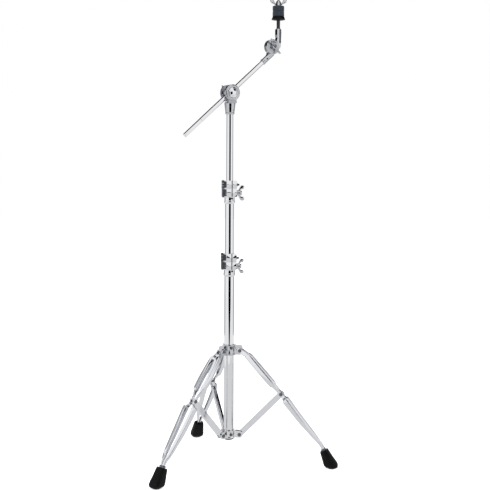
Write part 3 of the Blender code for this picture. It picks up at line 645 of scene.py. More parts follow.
def smooth_rows(rows, steps):
    """More rows between the given ones: a curve through the places, and eased sizes."""
    out = []
    for k in range(len(rows) - 1):
        before, start, end = rows[max(k - 1, 0)], rows[k], rows[k + 1]
        after = rows[min(k + 2, len(rows) - 1)]
        for step in range(steps):
            t = step / steps
            row = []
            for column, (a, b, c, d) in enumerate(zip(before, start, end, after)):
                if column < 3:
                    bend = 2 * b + (c - a) * t + (2 * a - 5 * b + 4 * c - d) * t**2
                    row.append((bend + (3 * b - a - 3 * c + d) * t**3) / 2)
                else:
                    row.append(b + (c - b) * t * t * (3 - 2 * t))
            out.append(row)
    out.append(list(rows[-1]))
    return out


def directions(rows):
    """The direction of travel at each row, in the leg's plane."""
    found = []
    for k in range(len(rows)):
        before, after = rows[max(k - 1, 0)], rows[min(k + 1, len(rows) - 1)]
        found.append(Vector((after[0] - before[0], after[1] - before[1])).normalized())
    return found


def channel(half_width, half_depth):
    """A pressed channel's section, open on its -X side."""
    wall = min(0.0015, half_width * 0.9)
    bend = min(0.0030, half_depth * 0.7, half_width)
    outside = rectangle(-half_width, -half_depth, half_width, half_depth)
    inner = half_depth - wall
    inside = rectangle(-half_width, inner, half_width - wall, -inner)
    return fillet(outside, [0, bend, bend, 0], 5) + fillet(inside, [0, bend * 0.6, bend * 0.6, 0], 3)


def leg_rail(leg, label, side):
    """One of a leg's two channels, swept from its ear at the collar down into the foot."""
    rows = smooth_rows(rail_bends(), RAIL_STEPS)
    rings = []
    for (out, up, aside, half_width, half_depth), along in zip(rows, directions(rows)):
        ring = []
        for across, deep in channel(half_width, half_depth):
            ring.append((out - along.y * deep, side * (aside + across), up + along.x * deep))
        rings.append(ring)
    finish(f"{leg}_leg_rail_{label}", skin(rings), STAND @ LEG_TURN[leg], 0.00035)


def leg_gusset(leg):
    """The pressed plate that joins the two rails below the collar, with a rivet in its middle."""
    rows = smooth_rows(rail_bends(), RAIL_STEPS)
    ways = directions(rows)
    start, end = GUSSET_ROWS
    rings = []
    for k in range(start, end + 1):
        out, up, aside, _, half_depth = rows[k]
        edge = aside - 0.0002
        lift = half_depth - 0.0014 - 0.0012 * sin(pi * (k - start) / (end - start))
        ring = []
        for across, deep in ((-edge, 0.0008), (-edge, -0.0008), (edge, -0.0008), (edge, 0.0008)):
            height = lift + deep
            ring.append((out - ways[k].y * height, across, up + ways[k].x * height))
        rings.append(ring)
    body = f"{leg}_leg"
    place = STAND @ LEG_TURN[leg]
    detail(f"{leg}_leg_gusset", skin(rings), "chrome_strip", body, place, 0.0004)
    out, up, _, _, half_depth = rows[(start + end) // 2]
    along = ways[(start + end) // 2]
    seat = Vector((out, 0, up)) + Vector((-along.y, 0, along.x)) * (half_depth - 0.0020)
    rivet = [(0, -0.0012), (0.0030, -0.0012), (0.0034, 0.0012), (0.0022, 0.0024), (0, 0.0026)]
    upward = place @ axes(seat, Vector((along.x, 0, along.y)), Vector((0, 1, 0)))
    detail(f"{leg}_gusset_rivet", turned(rivet, 0.0005, 4, 32), "bare_steel", body, upward)


def ankle_strap(leg):
    """The band that draws the two rails together where they enter the foot."""
    outer = fillet(rectangle(-0.0058, -0.0080, 0.0058, 0.0080), 0.003, 5)
    inner = [(x * 0.86, y * 0.89) for x, y in outer]
    strap = prism(outer, 0.0032, 0.0082, [inner])
    place = STAND @ LEG_TURN[leg] @ move(FOOT_TOP.x, 0, FOOT_TOP.y) @ turn(-FOOT_TILT, "Y")
    # The strap's darker steel is painted shade
    detail(f"{leg}_ankle_strap", strap, "painted_shade_steel", f"{leg}_leg", place, 0.0004)


def rivet_pin(node, leg, pivot, half_grip):
    """A rivet through a pivot, with a domed and dimpled head at each end."""
    grip = half_grip + GAP
    head = [(0, grip + 0.0018), (0.0012, grip + 0.0019), (0.0019, grip + 0.0026)]
    head += [(0.0036, grip + 0.0022), (0.0050, grip + 0.0010), (0.0052, grip), (PIN_R, grip)]
    profile = [(radius, -height) for radius, height in head] + head[::-1]
    place = STAND @ LEG_TURN[leg] @ move(pivot.x, 0, pivot.y) @ UPRIGHT
    finish(node, turned(profile, 0.0003, 3, 48), place, smooth=50)


def brace(leg):
    """A folded strap: two side plates with round ends, joined by a web along the lower edge."""
    length, end_r, sheet = LINK.length, 0.0080, 0.0017
    holes = [circle((0, 0), PIN_R + GAP), circle((0, length), PIN_R + GAP)]
    outline = arc((0, 0), end_r, pi, 2 * pi, 16) + arc((0, length), end_r, 0, pi, 16)
    body = bmesh.new()
    for side in (-1, 1):
        centre = side * (BRACE_HALF - sheet / 2)
        add(body, prism(outline, centre - sheet / 2, centre + sheet / 2, holes), UPRIGHT)
    half = BRACE_HALF - 0.0004
    web = fillet(rectangle(-half, 0.0135, half, length - 0.0135), 0.002, 3)
    add(body, prism(web, end_r - sheet, end_r - 0.0001), INTO_YZ)
    lean = atan2(LINK.x, LINK.y)
    place = STAND @ LEG_TURN[leg] @ move(HUB_PIVOT.x, 0, HUB_PIVOT.y) @ turn(lean, "Y")
    finish(f"{leg}_brace", body, place, 0.0005)


def foot_rows():
    """Rows down the foot: along its axis, aside, half depth, half width and lean."""
    return [
        (-0.0028, 0.0000, 0.0100, 0.0124, 1.00),
        (-0.0012, 0.0002, 0.0118, 0.0142, 1.00),
        (0.0110, 0.0004, 0.0138, 0.0158, 1.00),
        (0.0240, 0.0008, 0.0158, 0.0174, 0.90),
        (0.0360, 0.0018, 0.0180, 0.0188, 0.75),
        (0.0435, 0.0030, 0.0180, 0.0186, 0.45),
        (0.0485, 0.0036, 0.0152, 0.0160, 0.15),
    ]


def foot_ring(centre, lean, deep, wide, power=2.8):
    """A rounded square across the foot, in the leg's plane at centre and tipped by lean."""
    points = []
    for a in steps_round(64):
        size = (abs(cos(a)) ** power + abs(sin(a)) ** power) ** (-1 / power)
        u = cos(a) * size * deep
        points.append((centre.x + cos(lean) * u, sin(a) * size * wide, centre.y + sin(lean) * u))
    return points


def foot(leg):
    """A moulded foot: a square-shouldered wedge with a pocket on top and a flat tread below."""
    down = Vector((sin(FOOT_TILT), -cos(FOOT_TILT)))
    aside = Vector((cos(FOOT_TILT), sin(FOOT_TILT)))
    mouth = FOOT_TOP - down * 0.0028
    rings = []
    for along, deep, wide in ((0.0130, 0.0054, 0.0078), (0.0006, 0.0056, 0.0080), (0, 0.0062, 0.0086)):
        rings.append(foot_ring(mouth + down * along, FOOT_TILT, deep, wide))
    for along, offset, deep, wide, lean in smooth_rows(foot_rows(), 6):
        rings.append(foot_ring(FOOT_TOP + down * along + aside * offset, FOOT_TILT * lean, deep, wide))
    tread = [(0.0112, 0.0122, 0.0010), (0.0098, 0.0106, 0.0001), (0.0088, 0.0095, 0.0)]
    tread += [(0.0060, 0.0066, 0.0), (0.0054, 0.0060, 0.0012)]
    for deep, wide, height in tread:
        rings.append(foot_ring(Vector((FOOT_R, height)), 0, deep, wide, 2.2))
    finish(f"{leg}_foot", skin(rings), STAND @ LEG_TURN[leg], smooth=60)


def tripod():
    """Hub, collar and three legs with their braces."""
    leg_hub()
    leg_collar()
    set_screw("hub_screw", HUB_RING_R)
    set_screw("collar_screw", COLLAR_RING_R)
    for leg in LEGS:
        leg_rail(leg, "a", 1)
        leg_rail(leg, "b", -1)
        leg_gusset(leg)
        ankle_strap(leg)
        brace(leg)
        foot(leg)
        rivet_pin(f"{leg}_collar_pin", leg, COLLAR_PIVOT, LUG_HALF + GAP + EAR)
        rivet_pin(f"{leg}_knee_pin", leg, KNEE, BRACE_HALF + GAP + EAR)
        rivet_pin(f"{leg}_hub_pin", leg, HUB_PIVOT, 0.0088)


# ---------------------------------------------------------------- wing nuts


def wing(span, height, hub_r, side):
    """One wing: it leaves the hub low, thins outward and ends in a round upright lobe."""
    half = span / 2
    start = Vector((hub_r * 0.2, height * 0.27))
    bend = Vector((half * 0.72, height * 0.22))
    end = Vector((half - height * 0.10, height * 0.93))
    rings = []
    count = 18
    for k in range(count + 1):
        t = k / count
        here = start * (1 - t) ** 2 + bend * 2 * t * (1 - t) + end * t**2
        way = ((bend - start) * (1 - t) + (end - bend) * t).normalized()
        normal = Vector((-way.y, way.x))
        close = sqrt(max(0.0, 1 - (max(0.0, t - 0.72) / 0.28) ** 2))
        deep = height * (0.25 - 0.13 * sin(pi * min(1, t / 0.8)) ** 2 + 0.02 * t) * close
        thick = (0.0030 - 0.0013 * t) * max(close, 0.02)
        ring = []
        for a in steps_round(28):
            size = (abs(cos(a)) ** 2.5 + abs(sin(a)) ** 2.5) ** (-1 / 2.5)
            point = here + normal * (cos(a) * size * max(deep, 0.00002))
            ring.append((side * point.x, sin(a) * size * thick, point.y))
        rings.append(ring)
    return skin(rings)


def wing_nut(node, place, span, height, hub_r, bore):
    """A cast wing nut. Its screw axis is Z, and its wings spread in X away from its base."""
    high = height * 0.62
    profile = [(bore + GAP, 0), (hub_r, 0), (hub_r, height * 0.10), (hub_r * 0.93, height * 0.16)]
    profile += [(hub_r * 0.90, height * 0.40), (hub_r * 0.72, high), (bore + GAP, high)]
    body = turned(profile, 0.0007, 4, 64, ring=True)
    for side in (-1, 1):
        add(body, wing(span, height, hub_r, side))
    # The nut's darker chrome is painted shade
    finish(node, body, place, smooth=55, look="chrome_half_shade")


# ---------------------------------------------------------------- height clamps


def right_ear(outer, front):
    """The right ear seen from above, from the slit round to the band."""
    right = EAR_X[1]
    corners = [(SLIT_X[1], front), (right, front), (right, -0.0080), (outer * 0.99, -0.0020)]
    return fillet(corners, [0.0005, 0.0035, 0.0040, 0], 5)


def left_ear(outer, front):
    """The left ear seen from above, from the band to the slit."""
    corners = [(EAR_X[0], -outer * 0.90), (EAR_X[0], front), (SLIT_X[0], front)]
    return fillet(corners, [0.0015, 0.0035, 0.0005], 5)


def slit_angle(bore, x):
    """Where the side of the slit at x meets the bore, as an angle round the tube."""
    return atan2(-sqrt(bore**2 - x**2), x)


def split_band(bore, outer):
    """The clamp's band seen from above: a round back, two ears in front and a slit to the bore."""
    back = arc((0, 0), outer, atan2(-0.0010, outer), EAR_ROOT, 48)
    inner = arc((0, 0), bore, slit_angle(bore, SLIT_X[0]), slit_angle(bore, SLIT_X[1]) - 2 * pi, 60)
    return right_ear(outer, EAR_FRONT) + back + left_ear(outer, EAR_FRONT) + inner


def chamfer_front(body, front, low, high):
    """Slopes a block's front face back from a ridge at half its height."""
    ridge = (low + high) / 2
    lean = (high - low) / 2 * tan(radians(20))
    for edge in (low - 0.0002, high + 0.0002):
        wedge = [(front - 0.01, ridge), (front, ridge), (front + lean, edge), (front - 0.01, edge)]
        body = cut(body, prism(wedge, -0.03, 0.03), INTO_YZ)
    return body


def clamp_skirt(bore, outer, low, block_low):
    """The round socket below a clamp's block, with a bead near its mouth."""
    waist = outer - 0.0007
    profile = [(bore, low), (outer - 0.0014, low), (outer, low + 0.0045), (outer, low + 0.0075)]
    profile += [(waist, low + 0.0090), (waist, block_low - 0.0012)]
    profile += [(outer + 0.0006, block_low + 0.0004), (bore, block_low + 0.0004)]
    return turned(profile, 0.0007, 4, 96, ring=True)


def clamp(which, tube_r, outer):
    """The casting on a tube's end: a skirt, a split block with two ears, and its hinge parts."""
    node = f"{which}_clamp"
    body_name = BODY_OF[node]
    low, high = bottom(node), top(node)
    block_low = low + CLAMP_SKIRT
    block_r = outer + 0.0012
    body = prism(split_band(tube_r + GAP, block_r), block_low, high)
    body = chamfer_front(body, EAR_FRONT, block_low, high)
    across = move(0, SCREW_Y, (block_low + high) / 2) @ Z_ALONG_X
    body = cut(body, drill(0.0033, 40), across)
    notch = [(0.0122, block_low - 0.001), (0.03, block_low - 0.001)]
    notch += [(0.03, block_low + 0.0075), (0.0205, block_low + 0.0070)]
    body = cut(body, prism(notch, 0.010, 0.04), UPRIGHT)
    add(body, clamp_skirt(tube_r + GAP, outer, low, block_low))
    for edge in (EAR_X[1] - 0.0004, EAR_X[0] - 0.0002):
        boss = turned(rectangle(0.0036, 0, 0.0066, 0.0006), 0.0002, 2, 48, ring=True)
        add(body, boss, move(x=edge) @ across)
    finish(node, body, STAND, 0.0006)
    hinge = STAND @ move(-outer - KNUCKLE_OUT, KNUCKLE_Y)
    hinge_barrel(f"{which}_clamp_knuckle", body_name, hinge, block_low, high)
    # A dark leaf over the hinge side: painted shade where the knuckle lies in shadow
    leaf = hinge_shade_leaf(block_r, radians(187), block_low + 0.0014, high - 0.0014)
    detail(f"{which}_hinge_shade_leaf", leaf, "dark_steel_and_shade", body_name, STAND, 0.0003)
    pin = [(0, block_low - 0.0022), (0.0024, block_low - 0.0022), (0.0028, block_low - 0.0006)]
    pin += [(0.0028, block_low + 0.001), (0, block_low + 0.001)]
    detail(f"{which}_hinge_pin", turned(pin, 0.0005, 3, 32), "dark_steel_and_shade", body_name, hinge)
    recess_shade_stud(which, outer, block_low - 0.0048, body_name)


def barrel(start, end, radius):
    """A hinge knuckle's round barrel, with softened rims."""
    return turned(rectangle(0, start, radius, end), 0.0005, 3, 40)


def hinge_barrel(name, body, place, start, end):
    # The knuckle's darker steel is painted shade
    detail(name, barrel(start, end, KNUCKLE_R), "painted_shade_steel", body, place)


def hinge_shade_leaf(outer, start, low, high):
    """A dark bent plate on a band's left side, from the knuckle to the ear: painted shade over the hinge.
    """
    end = radians(240)
    outline = arc((0, 0), outer + 0.0005, start, end, 10) + arc((0, 0), outer - 0.0010, end, start, 10)
    return skin([[(x, y, height) for x, y in outline] for height in (low, high)])


def recess_shade_stud(which, outer, height, body):
    """A small black stud in the skirt, in front on the right: painted shade that stands for a set screw's
    recess.
    """
    profile = [(0, 0.0004), (0.0015, 0.0004), (0.0019, 0.0012)]
    profile += [(0.0027, 0.0012), (0.0029, -0.0010), (0, -0.0010)]
    # The black stud is painted shade of a recess
    place = STAND @ turn(radians(-62), "Z") @ move(x=outer - 0.0009, z=height) @ Z_ALONG_X
    detail(f"{which}_recess_shade_stud", turned(profile, 0.0002, 2, 36), "black_plastic", body, place)


def clamp_bolt(which):
    """A bolt across the ears: a rounded head on the left, its thread in the wing nut."""
    node = f"{which}_clamp_bolt"
    left, end = EAR_X[0] - GAP - 0.0002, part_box(node)[1].x - AXIS.x
    profile = [(0, left - 0.0026), (0.0018, left - 0.0026), (0.0022, left - 0.0034)]
    profile += [(0.0044, left - 0.0034), (0.0056, left - 0.0022), (0.0056, left)]
    profile += [(0.0030, left), (0.0030, EAR_X[1])]
    thread = thread_profile(0.0030, EAR_X[1] + 0.0002, end)
    place = STAND @ move(0, SCREW_Y, middle(node).z) @ Z_ALONG_X
    finish(node, lathe(fillet(profile, 0.0003, 2, False) + thread, 36), place, smooth=50)


def thread_profile(radius, low, high, pitch=0.00125):
    """A screw thread's side, drawn as ridges a pitch apart, to the chamfered end."""
    points = []
    for k in range(int((high - low - 0.0006) / pitch)):
        start = low + k * pitch
        points += [(radius - 0.0005, start), (radius, start + pitch * 0.5)]
    return points + [(radius - 0.0006, high - 0.0003), (radius - 0.0012, high), (0, high)]


def lock_back(bore, outer):
    """The lock's back half seen from above. It keeps the right ear."""
    side = arc((0, 0), outer, atan2(-0.0010, outer), LOCK_SPLIT, 36)
    inner = arc((0, 0), bore, LOCK_SPLIT, slit_angle(bore, SLIT_X[1]), 40)
    return right_ear(outer, LOCK_FRONT) + side + inner


def lock_front(bore, outer):
    """The lock's front half seen from above: the gate, with the left ear."""
    start = LOCK_SPLIT + 0.03
    inner = arc((0, 0), bore, slit_angle(bore, SLIT_X[0]) + 2 * pi, start, 30)
    return inner + arc((0, 0), outer, start, EAR_ROOT, 16) + left_ear(outer, LOCK_FRONT)


def memory_lock(which, inner_r, outer):
    """A hinged ring on the sliding tube: a back half, a front gate and a square-headed key screw."""
    node = f"{which}_memory_lock"
    low, high = bottom(node), top(node)
    tall = high - low
    third = (tall * 0.32, tall * 0.68)
    knuckle = move(-outer - KNUCKLE_OUT, KNUCKLE_Y)
    across = move(0, SCREW_Y, tall / 2) @ Z_ALONG_X
    place = STAND @ move(z=low)
    hinge = place @ knuckle
    ring = chamfer_front(prism(lock_back(inner_r + GAP, outer), 0, tall), LOCK_FRONT, 0, tall)
    ring = cut(ring, drill(0.0027, 32), across)
    ring = cut(ring, barrel(third[0], third[1], KNUCKLE_R + GAP), knuckle)
    hinge_barrel(f"{which}_lock_low_knuckle", BODY_OF[node], hinge, 0, third[0])
    hinge_barrel(f"{which}_lock_high_knuckle", BODY_OF[node], hinge, third[1], tall)
    finish(node, ring, place, 0.0006)
    lock_gate(which, inner_r, outer, place, tall, third)
    key_screw(which, place @ across)
    gate_body = BODY_OF[f"{node}_gate"]
    # A dark leaf over the gate's hinge side: painted shade
    leaf = hinge_shade_leaf(outer, radians(188), tall * 0.10, tall * 0.90)
    detail(f"{which}_gate_shade_leaf", leaf, "dark_steel_and_shade", gate_body, place, 0.0003)
    pin = [(0, tall - 0.001), (0.0026, tall - 0.001), (0.0026, tall + 0.0009), (0, tall + 0.0012)]
    detail(f"{which}_gate_pin", turned(pin, 0.0004, 3, 32), "dark_steel_and_shade", BODY_OF[node], hinge)


def lock_gate(which, inner_r, outer, place, tall, third):
    """The swinging front half, cleared for the fixed knuckles and slotted for the screw."""
    node = f"{which}_memory_lock_gate"
    knuckle = move(-outer - KNUCKLE_OUT, KNUCKLE_Y)
    gate = chamfer_front(prism(lock_front(inner_r + GAP, outer), 0, tall), LOCK_FRONT, 0, tall)
    for start, end in ((-0.002, third[0] + GAP), (third[1] - GAP, tall + 0.002)):
        gate = cut(gate, barrel(start, end, KNUCKLE_R + GAP), knuckle)
    slot = rectangle(EAR_X[0] - 0.002, -0.0027, SLIT_X[1] + 0.002, 0.0027)
    gate = cut(gate, prism(slot, 0.008, -SCREW_Y), move(z=tall / 2) @ UPRIGHT)
    low, high = third[0] + 2 * GAP, third[1] - 2 * GAP
    hinge_barrel(f"{which}_gate_knuckle", BODY_OF[node], place @ knuckle, low, high)
    finish(node, gate, place, 0.0005)


def key_screw(which, place):
    """The lock's screw, with a round collar under a square head."""
    left, right = EAR_X[0] + 0.001, EAR_X[1] + GAP
    profile = [(0, left), (0.0023, left), (0.0023, right), (0.0046, right)]
    profile += [(0.0046, right + 0.0012), (0, right + 0.0014)]
    body = turned(profile, 0.0003, 3, 40)
    add(body, square_head(0.0025, right + 0.0010, right + 0.0062))
    finish(f"{which}_memory_lock_key_screw", body, place, 0.0002)


def height_clamp(which, tube_r, inner_r, outer):
    """One height joint: the clamp on the outer tube and the memory lock on the inner one."""
    clamp(which, tube_r, outer)
    clamp_bolt(which)
    pivot = joint_place(f"{which}_wing_nut_turn")
    place = Matrix.Translation(pivot) @ Z_ALONG_X @ turn(radians(10), "Z")
    wing_nut(f"{which}_clamp_wing_nut", place, span=0.0400, height=0.0215, hub_r=0.0078, bore=0.0030)
    memory_lock(which, inner_r, outer + 0.0005)


# ---------------------------------------------------------------- boom tilter


def teeth(inner, outer, base, height, count):
    """A ring of radial ratchet teeth, cut upward from base."""
    rows = []
    for k in range(count * 2):
        angle = pi * k / count
        rise = base + (height if k % 2 else height * 0.15)
        profile = ((inner, base - 0.0008), (outer, base - 0.0008), (outer, rise), (inner, rise))
        rows.append([(radius * cos(angle), radius * sin(angle), z) for radius, z in profile])
    return skin(rows, joined=True)


def tilter_teeth():
    """The ratchet ring on each of the boom tilter's two plates."""
    return teeth(0.0158, TILTER_R - 0.0012, -0.0002, 0.0011, 48)


def boom_socket(low, high):
    """The boom base's tapered socket on the upper tube, with a bead at its mouth and a domed roof."""
    bore = UPPER_R + GAP
    shell = [(bore, low), (0.0122, low), (0.0134, low + 0.0030), (0.0134, low + 0.0042)]
    shell += [(0.0128, low + 0.0050), (0.0158, high - 0.0050), (0.0162, high - 0.0040)]
    shell += [(0.0150, high), (0.0, high + 0.0012)]
    inside = [(0, high - 0.0060), (bore, high - 0.0060), (bore, low)]
    return lathe(fillet(shell, 0.0007, 4, False) + inside, 96)


def front_cheek():
    """The round front plate, with a raised ring on its face and a recess for the cap."""
    face, rim = TILTER_DISC, TILTER_R
    profile = [(0, face - 0.0022), (0.0150, face - 0.0022), (0.0153, face - 0.0004), (0.0162, face)]
    profile += [(0.0186, face), (0.0190, face - 0.0010), (0.0200, face - 0.0010), (0.0204, face - 0.0004)]
    profile += [(rim - 0.0008, face - 0.0012), (rim, face - 0.0028), (rim, 0.0012)]
    profile += [(rim - 0.0006, 0.0002), (0.0, 0.0002)]
    return turned(profile, 0.0004, 3, 96)


def boom_base():
    """The casting on the upper tube: a tapered socket, a saddle neck and the front cheek."""
    low = bottom("boom_base") - BOOM_LEVEL.translation.z
    high = low + 0.0339
    body = boom_socket(low, high)
    add(body, front_cheek(), move(y=-TILTER_GAP) @ UPRIGHT)
    add(body, tilter_teeth(), move(y=-TILTER_GAP) @ Z_ALONG_Y)
    saddle = [(-0.0135, high - 0.0030), (0.0135, high - 0.0030), (0.0120, high + 0.0060)]
    saddle += [(0.0165, high + 0.0125), (0.0, high + 0.0165), (-0.0165, high + 0.0125)]
    saddle.append((-0.0120, high + 0.0060))
    neck = prism(fillet(saddle, 0.0020, 4), TILTER_GAP + 0.0004, TILTER_GAP + 0.0062)
    # The neck's dark chrome is painted shade, where the gap between the cheek and the socket falls in
    # shadow
    detail("boom_base_neck", neck, "chrome_deep_shade", BODY_OF["boom_base"], BOOM_LEVEL @ UPRIGHT, 0.0005)
    gusset = [(0, high - 0.004), (0.0125, high - 0.004), (0.0050, high + 0.0055), (0, high + 0.0070)]
    for side in (-1, 1):
        web = prism(fillet(gusset, 0.0012, 3), side * 0.0085 - 0.0012, side * 0.0085 + 0.0012)
        add(body, web, turn(-pi / 2, "Z") @ UPRIGHT)
    # The casting's darker chrome is painted shade
    finish("boom_base", body, BOOM_LEVEL, 0.0004, look="chrome_half_shade")
    socket_screws(low)


def socket_screws(low):
    """Two grub screws in the front of the boom base's socket, one above the other."""
    profile = [(0, -0.0004), (0.0008, -0.0004), (0.0011, 0.0006), (0.0019, 0.0008)]
    profile += [(0.0022, 0.0), (0.0022, -0.002), (0, -0.002)]
    for name, angle, height, radius in (("upper", -112, 0.0240, 0.0148), ("lower", -66, 0.0120, 0.0136)):
        place = BOOM_LEVEL @ turn(radians(angle), "Z") @ move(x=radius - 0.0004, z=low + height) @ Z_ALONG_X
        screw = turned(profile, 0.0002, 2, 28)
        detail(f"boom_base_{name}_screw", screw, "dark_steel_and_shade", BODY_OF["boom_base"], place)


def tilter_cap():
    """The domed cap on the front cheek, with a shallow ring round its crown."""
    face = -TILTER_GAP - TILTER_DISC + 0.0022
    profile = [(0, 0), (0.0146, 0), (0.0149, 0.0022), (0.0140, 0.0036), (0.0120, 0.0044)]
    profile += [(0.0114, 0.0041), (0.0106, 0.0052), (0.0080, 0.0066), (0.0045, 0.0076), (0, 0.0080)]
    place = BOOM_LEVEL @ move(y=face - GAP) @ UPRIGHT
    finish("boom_tilter_cap", turned(profile, 0.0008, 4, 96), place)


def eye_bolt():
    """The drum between the two toothed plates, with the boom's hole through it and its shank behind."""
    half = TILTER_GAP - 2 * GAP
    shank_r = 0.0038
    rim = [(0.0142, half), (0.0150, half - 0.0012), (0.0150, half - 0.0045), (0.0143, half - 0.0052)]
    drum = [(0, -half)] + [(radius, -height) for radius, height in rim] + rim[::-1] + [(0, half)]
    body = turned(drum, 0.0004, 3, 96)
    body.transform(UPRIGHT)
    body = cut(body, drill(BOOM_R + BUSHING_WALL + 2 * GAP, 64), Z_ALONG_X)
    shank = [(0, half - 0.0010), (shank_r, half - 0.0010), (shank_r, 0.0180)]
    add(body, lathe(shank + thread_profile(shank_r, 0.0182, 0.0370), 40), Z_ALONG_Y)
    finish("boom_eye_bolt", body, BOOM, 0.0003)


def boom_bushing():
    """The nylon sleeve round the boom, in the drum."""
    section = rectangle(BOOM_R + GAP, -0.0120, BOOM_R + BUSHING_WALL + GAP, 0.0120)
    finish("boom_bushing", turned(section, 0.0003, 2, 64, ring=True), BOOM @ Z_ALONG_X)


def back_plate():
    """The rear toothed plate, with a stepped hub for the wing nut."""
    bore, rim = 0.0043, TILTER_R
    profile = [(bore, 0.0002), (rim - 0.0006, 0.0002), (rim, 0.0012), (rim, 0.0056)]
    profile += [(rim - 0.0012, 0.0072), (0.0196, 0.0080), (0.0190, 0.0072), (0.0178, 0.0072)]
    profile += [(0.0172, 0.0085), (0.0112, 0.0085), (0.0104, 0.0098), (bore, 0.0098)]
    body = turned(profile, 0.0005, 3, 96, ring=True)
    add(body, tilter_teeth(), turn(pi, "X"))
    # The back plate's dark chrome is painted shade
    finish("boom_back_plate", body, BOOM @ move(y=TILTER_GAP) @ Z_ALONG_Y, look="chrome_deep_shade")


def boom_rod():
    """The boom: a bright rod, ground slightly thinner towards its lower end, with rounded ends."""
    low, high = BOOM_SPAN
    thin = BOOM_R - 0.0003
    profile = [(0, low), (thin - 0.0016, low), (thin, low + 0.0014), (thin, low + 0.0655)]
    profile += [(BOOM_R, low + 0.0664), (BOOM_R, high - 0.0010), (BOOM_R - 0.0010, high), (0, high)]
    finish("boom_tube", turned(profile, 0.0006, 4), BOOM @ Z_ALONG_X)


def boom_tilter():
    """The boom's tilt joint on the upper tube, and the boom."""
    boom_base()
    tilter_cap()
    eye_bolt()
    boom_bushing()
    back_plate()
    nut_y = TILTER_GAP + TILTER_DISC + 0.0014 + GAP
    place = BOOM @ move(y=nut_y) @ Euler((-pi / 2, radians(-64), 0)).to_matrix().to_4x4()
    wing_nut("boom_tilter_wing_nut", place, span=0.0460, height=0.0210, hub_r=0.0085, bore=0.0040)
    boom_rod()


# ---------------------------------------------------------------- cymbal tilter


def toothed_disc():
    """One of the cymbal tilter's two discs: teeth on the inner face, a groove in the outer one."""
    face, outside, rim = 0.0006, HEAD_DISC, HEAD_R
    section = [(0.0039, face), (rim - 0.0004, face), (rim, face + 0.0008), (rim, outside - 0.0020)]
    section += [(rim - 0.0010, outside - 0.0004), (0.0186, outside), (0.0180, outside - 0.0010)]
    section += [(0.0160, outside - 0.0010), (0.0154, outside), (0.0039, outside)]
    disc = turned(section, 0.0004, 3, 96, ring=True)
    return add(disc, teeth(0.0140, rim - 0.0014, 0.0004, -0.0007, 40))


def head_socket():
    """The boom's upper socket with its screw, a web beside it and the rear toothed disc."""
    start, end = 0.1370, HEAD_ALONG - 0.0100
    bore, outer = BOOM_R + GAP, 0.0079
    mouth = BOOM_SPAN[1] + GAP
    profile = [(bore, start), (0.0078, start), (0.0084, start + 0.0012), (0.0084, start + 0.0050)]
    profile += [(outer, start + 0.0058), (outer, end - 0.0010), (0.0060, end + 0.0010)]
    profile += [(0, end + 0.0012), (0, mouth), (bore, mouth), (bore, start)]
    body = turned(profile, 0.0005, 3)
    body.transform(Z_ALONG_X)
    # The rear disc's dark chrome is painted shade
    detail("rear_disc", toothed_disc(), "chrome_deep_shade", "boom", BOOM @ HEAD_CENTRE @ Z_ALONG_Y)
    web = [(end - 0.0200, -0.0070), (HEAD_ALONG - 0.0020, -0.0070), (HEAD_ALONG + 0.0010, HEAD_ABOVE)]
    web += [(HEAD_ALONG - 0.0120, HEAD_ABOVE), (end - 0.0240, 0.0030)]
    rib = prism(fillet(web, 0.002, 4), -0.0078, -0.0044)
    # The web's dark chrome is painted shade
    detail("boom_socket_web", rib, "chrome_deep_shade", "boom", BOOM @ UPRIGHT, 0.0004)
    # The socket's darker chrome is painted shade
    finish("cymbal_tilter_socket", body, BOOM, 0.0004, look="chrome_half_shade")
    screw = [(0, 0.0002), (0.0009, 0.0002), (0.0012, 0.0010), (0.0020, 0.0012)]
    screw += [(0.0023, 0.0004), (0.0023, -0.002), (0, -0.002)]
    place = BOOM @ move(x=start + 0.0160) @ turn(radians(-4), "X") @ move(y=-outer) @ UPRIGHT
    detail("boom_socket_screw", turned(screw, 0.0002, 2, 28), "dark_steel_and_shade", "boom", place)


def head_bolt():
    """The bolt through both discs: a rounded head behind, its thread in the wing nut."""
    back = HEAD_DISC + GAP
    shank = 0.0034
    head = [(0, back + 0.0036), (0.0018, back + 0.0036), (0.0024, back + 0.0042)]
    head += [(0.0050, back + 0.0042), (0.0060, back + 0.0030), (0.0060, back), (shank, back)]
    lower = [(radius, -height) for radius, height in head] + [(shank, HEAD_DISC + 0.0020)]
    thread = thread_profile(shank, HEAD_DISC + 0.0022, HEAD_DISC + 0.0140)
    body = lathe(fillet(lower, 0.0003, 2, False) + thread, 40)
    finish("cymbal_tilter_bolt", body, BOOM @ HEAD_CENTRE @ UPRIGHT)


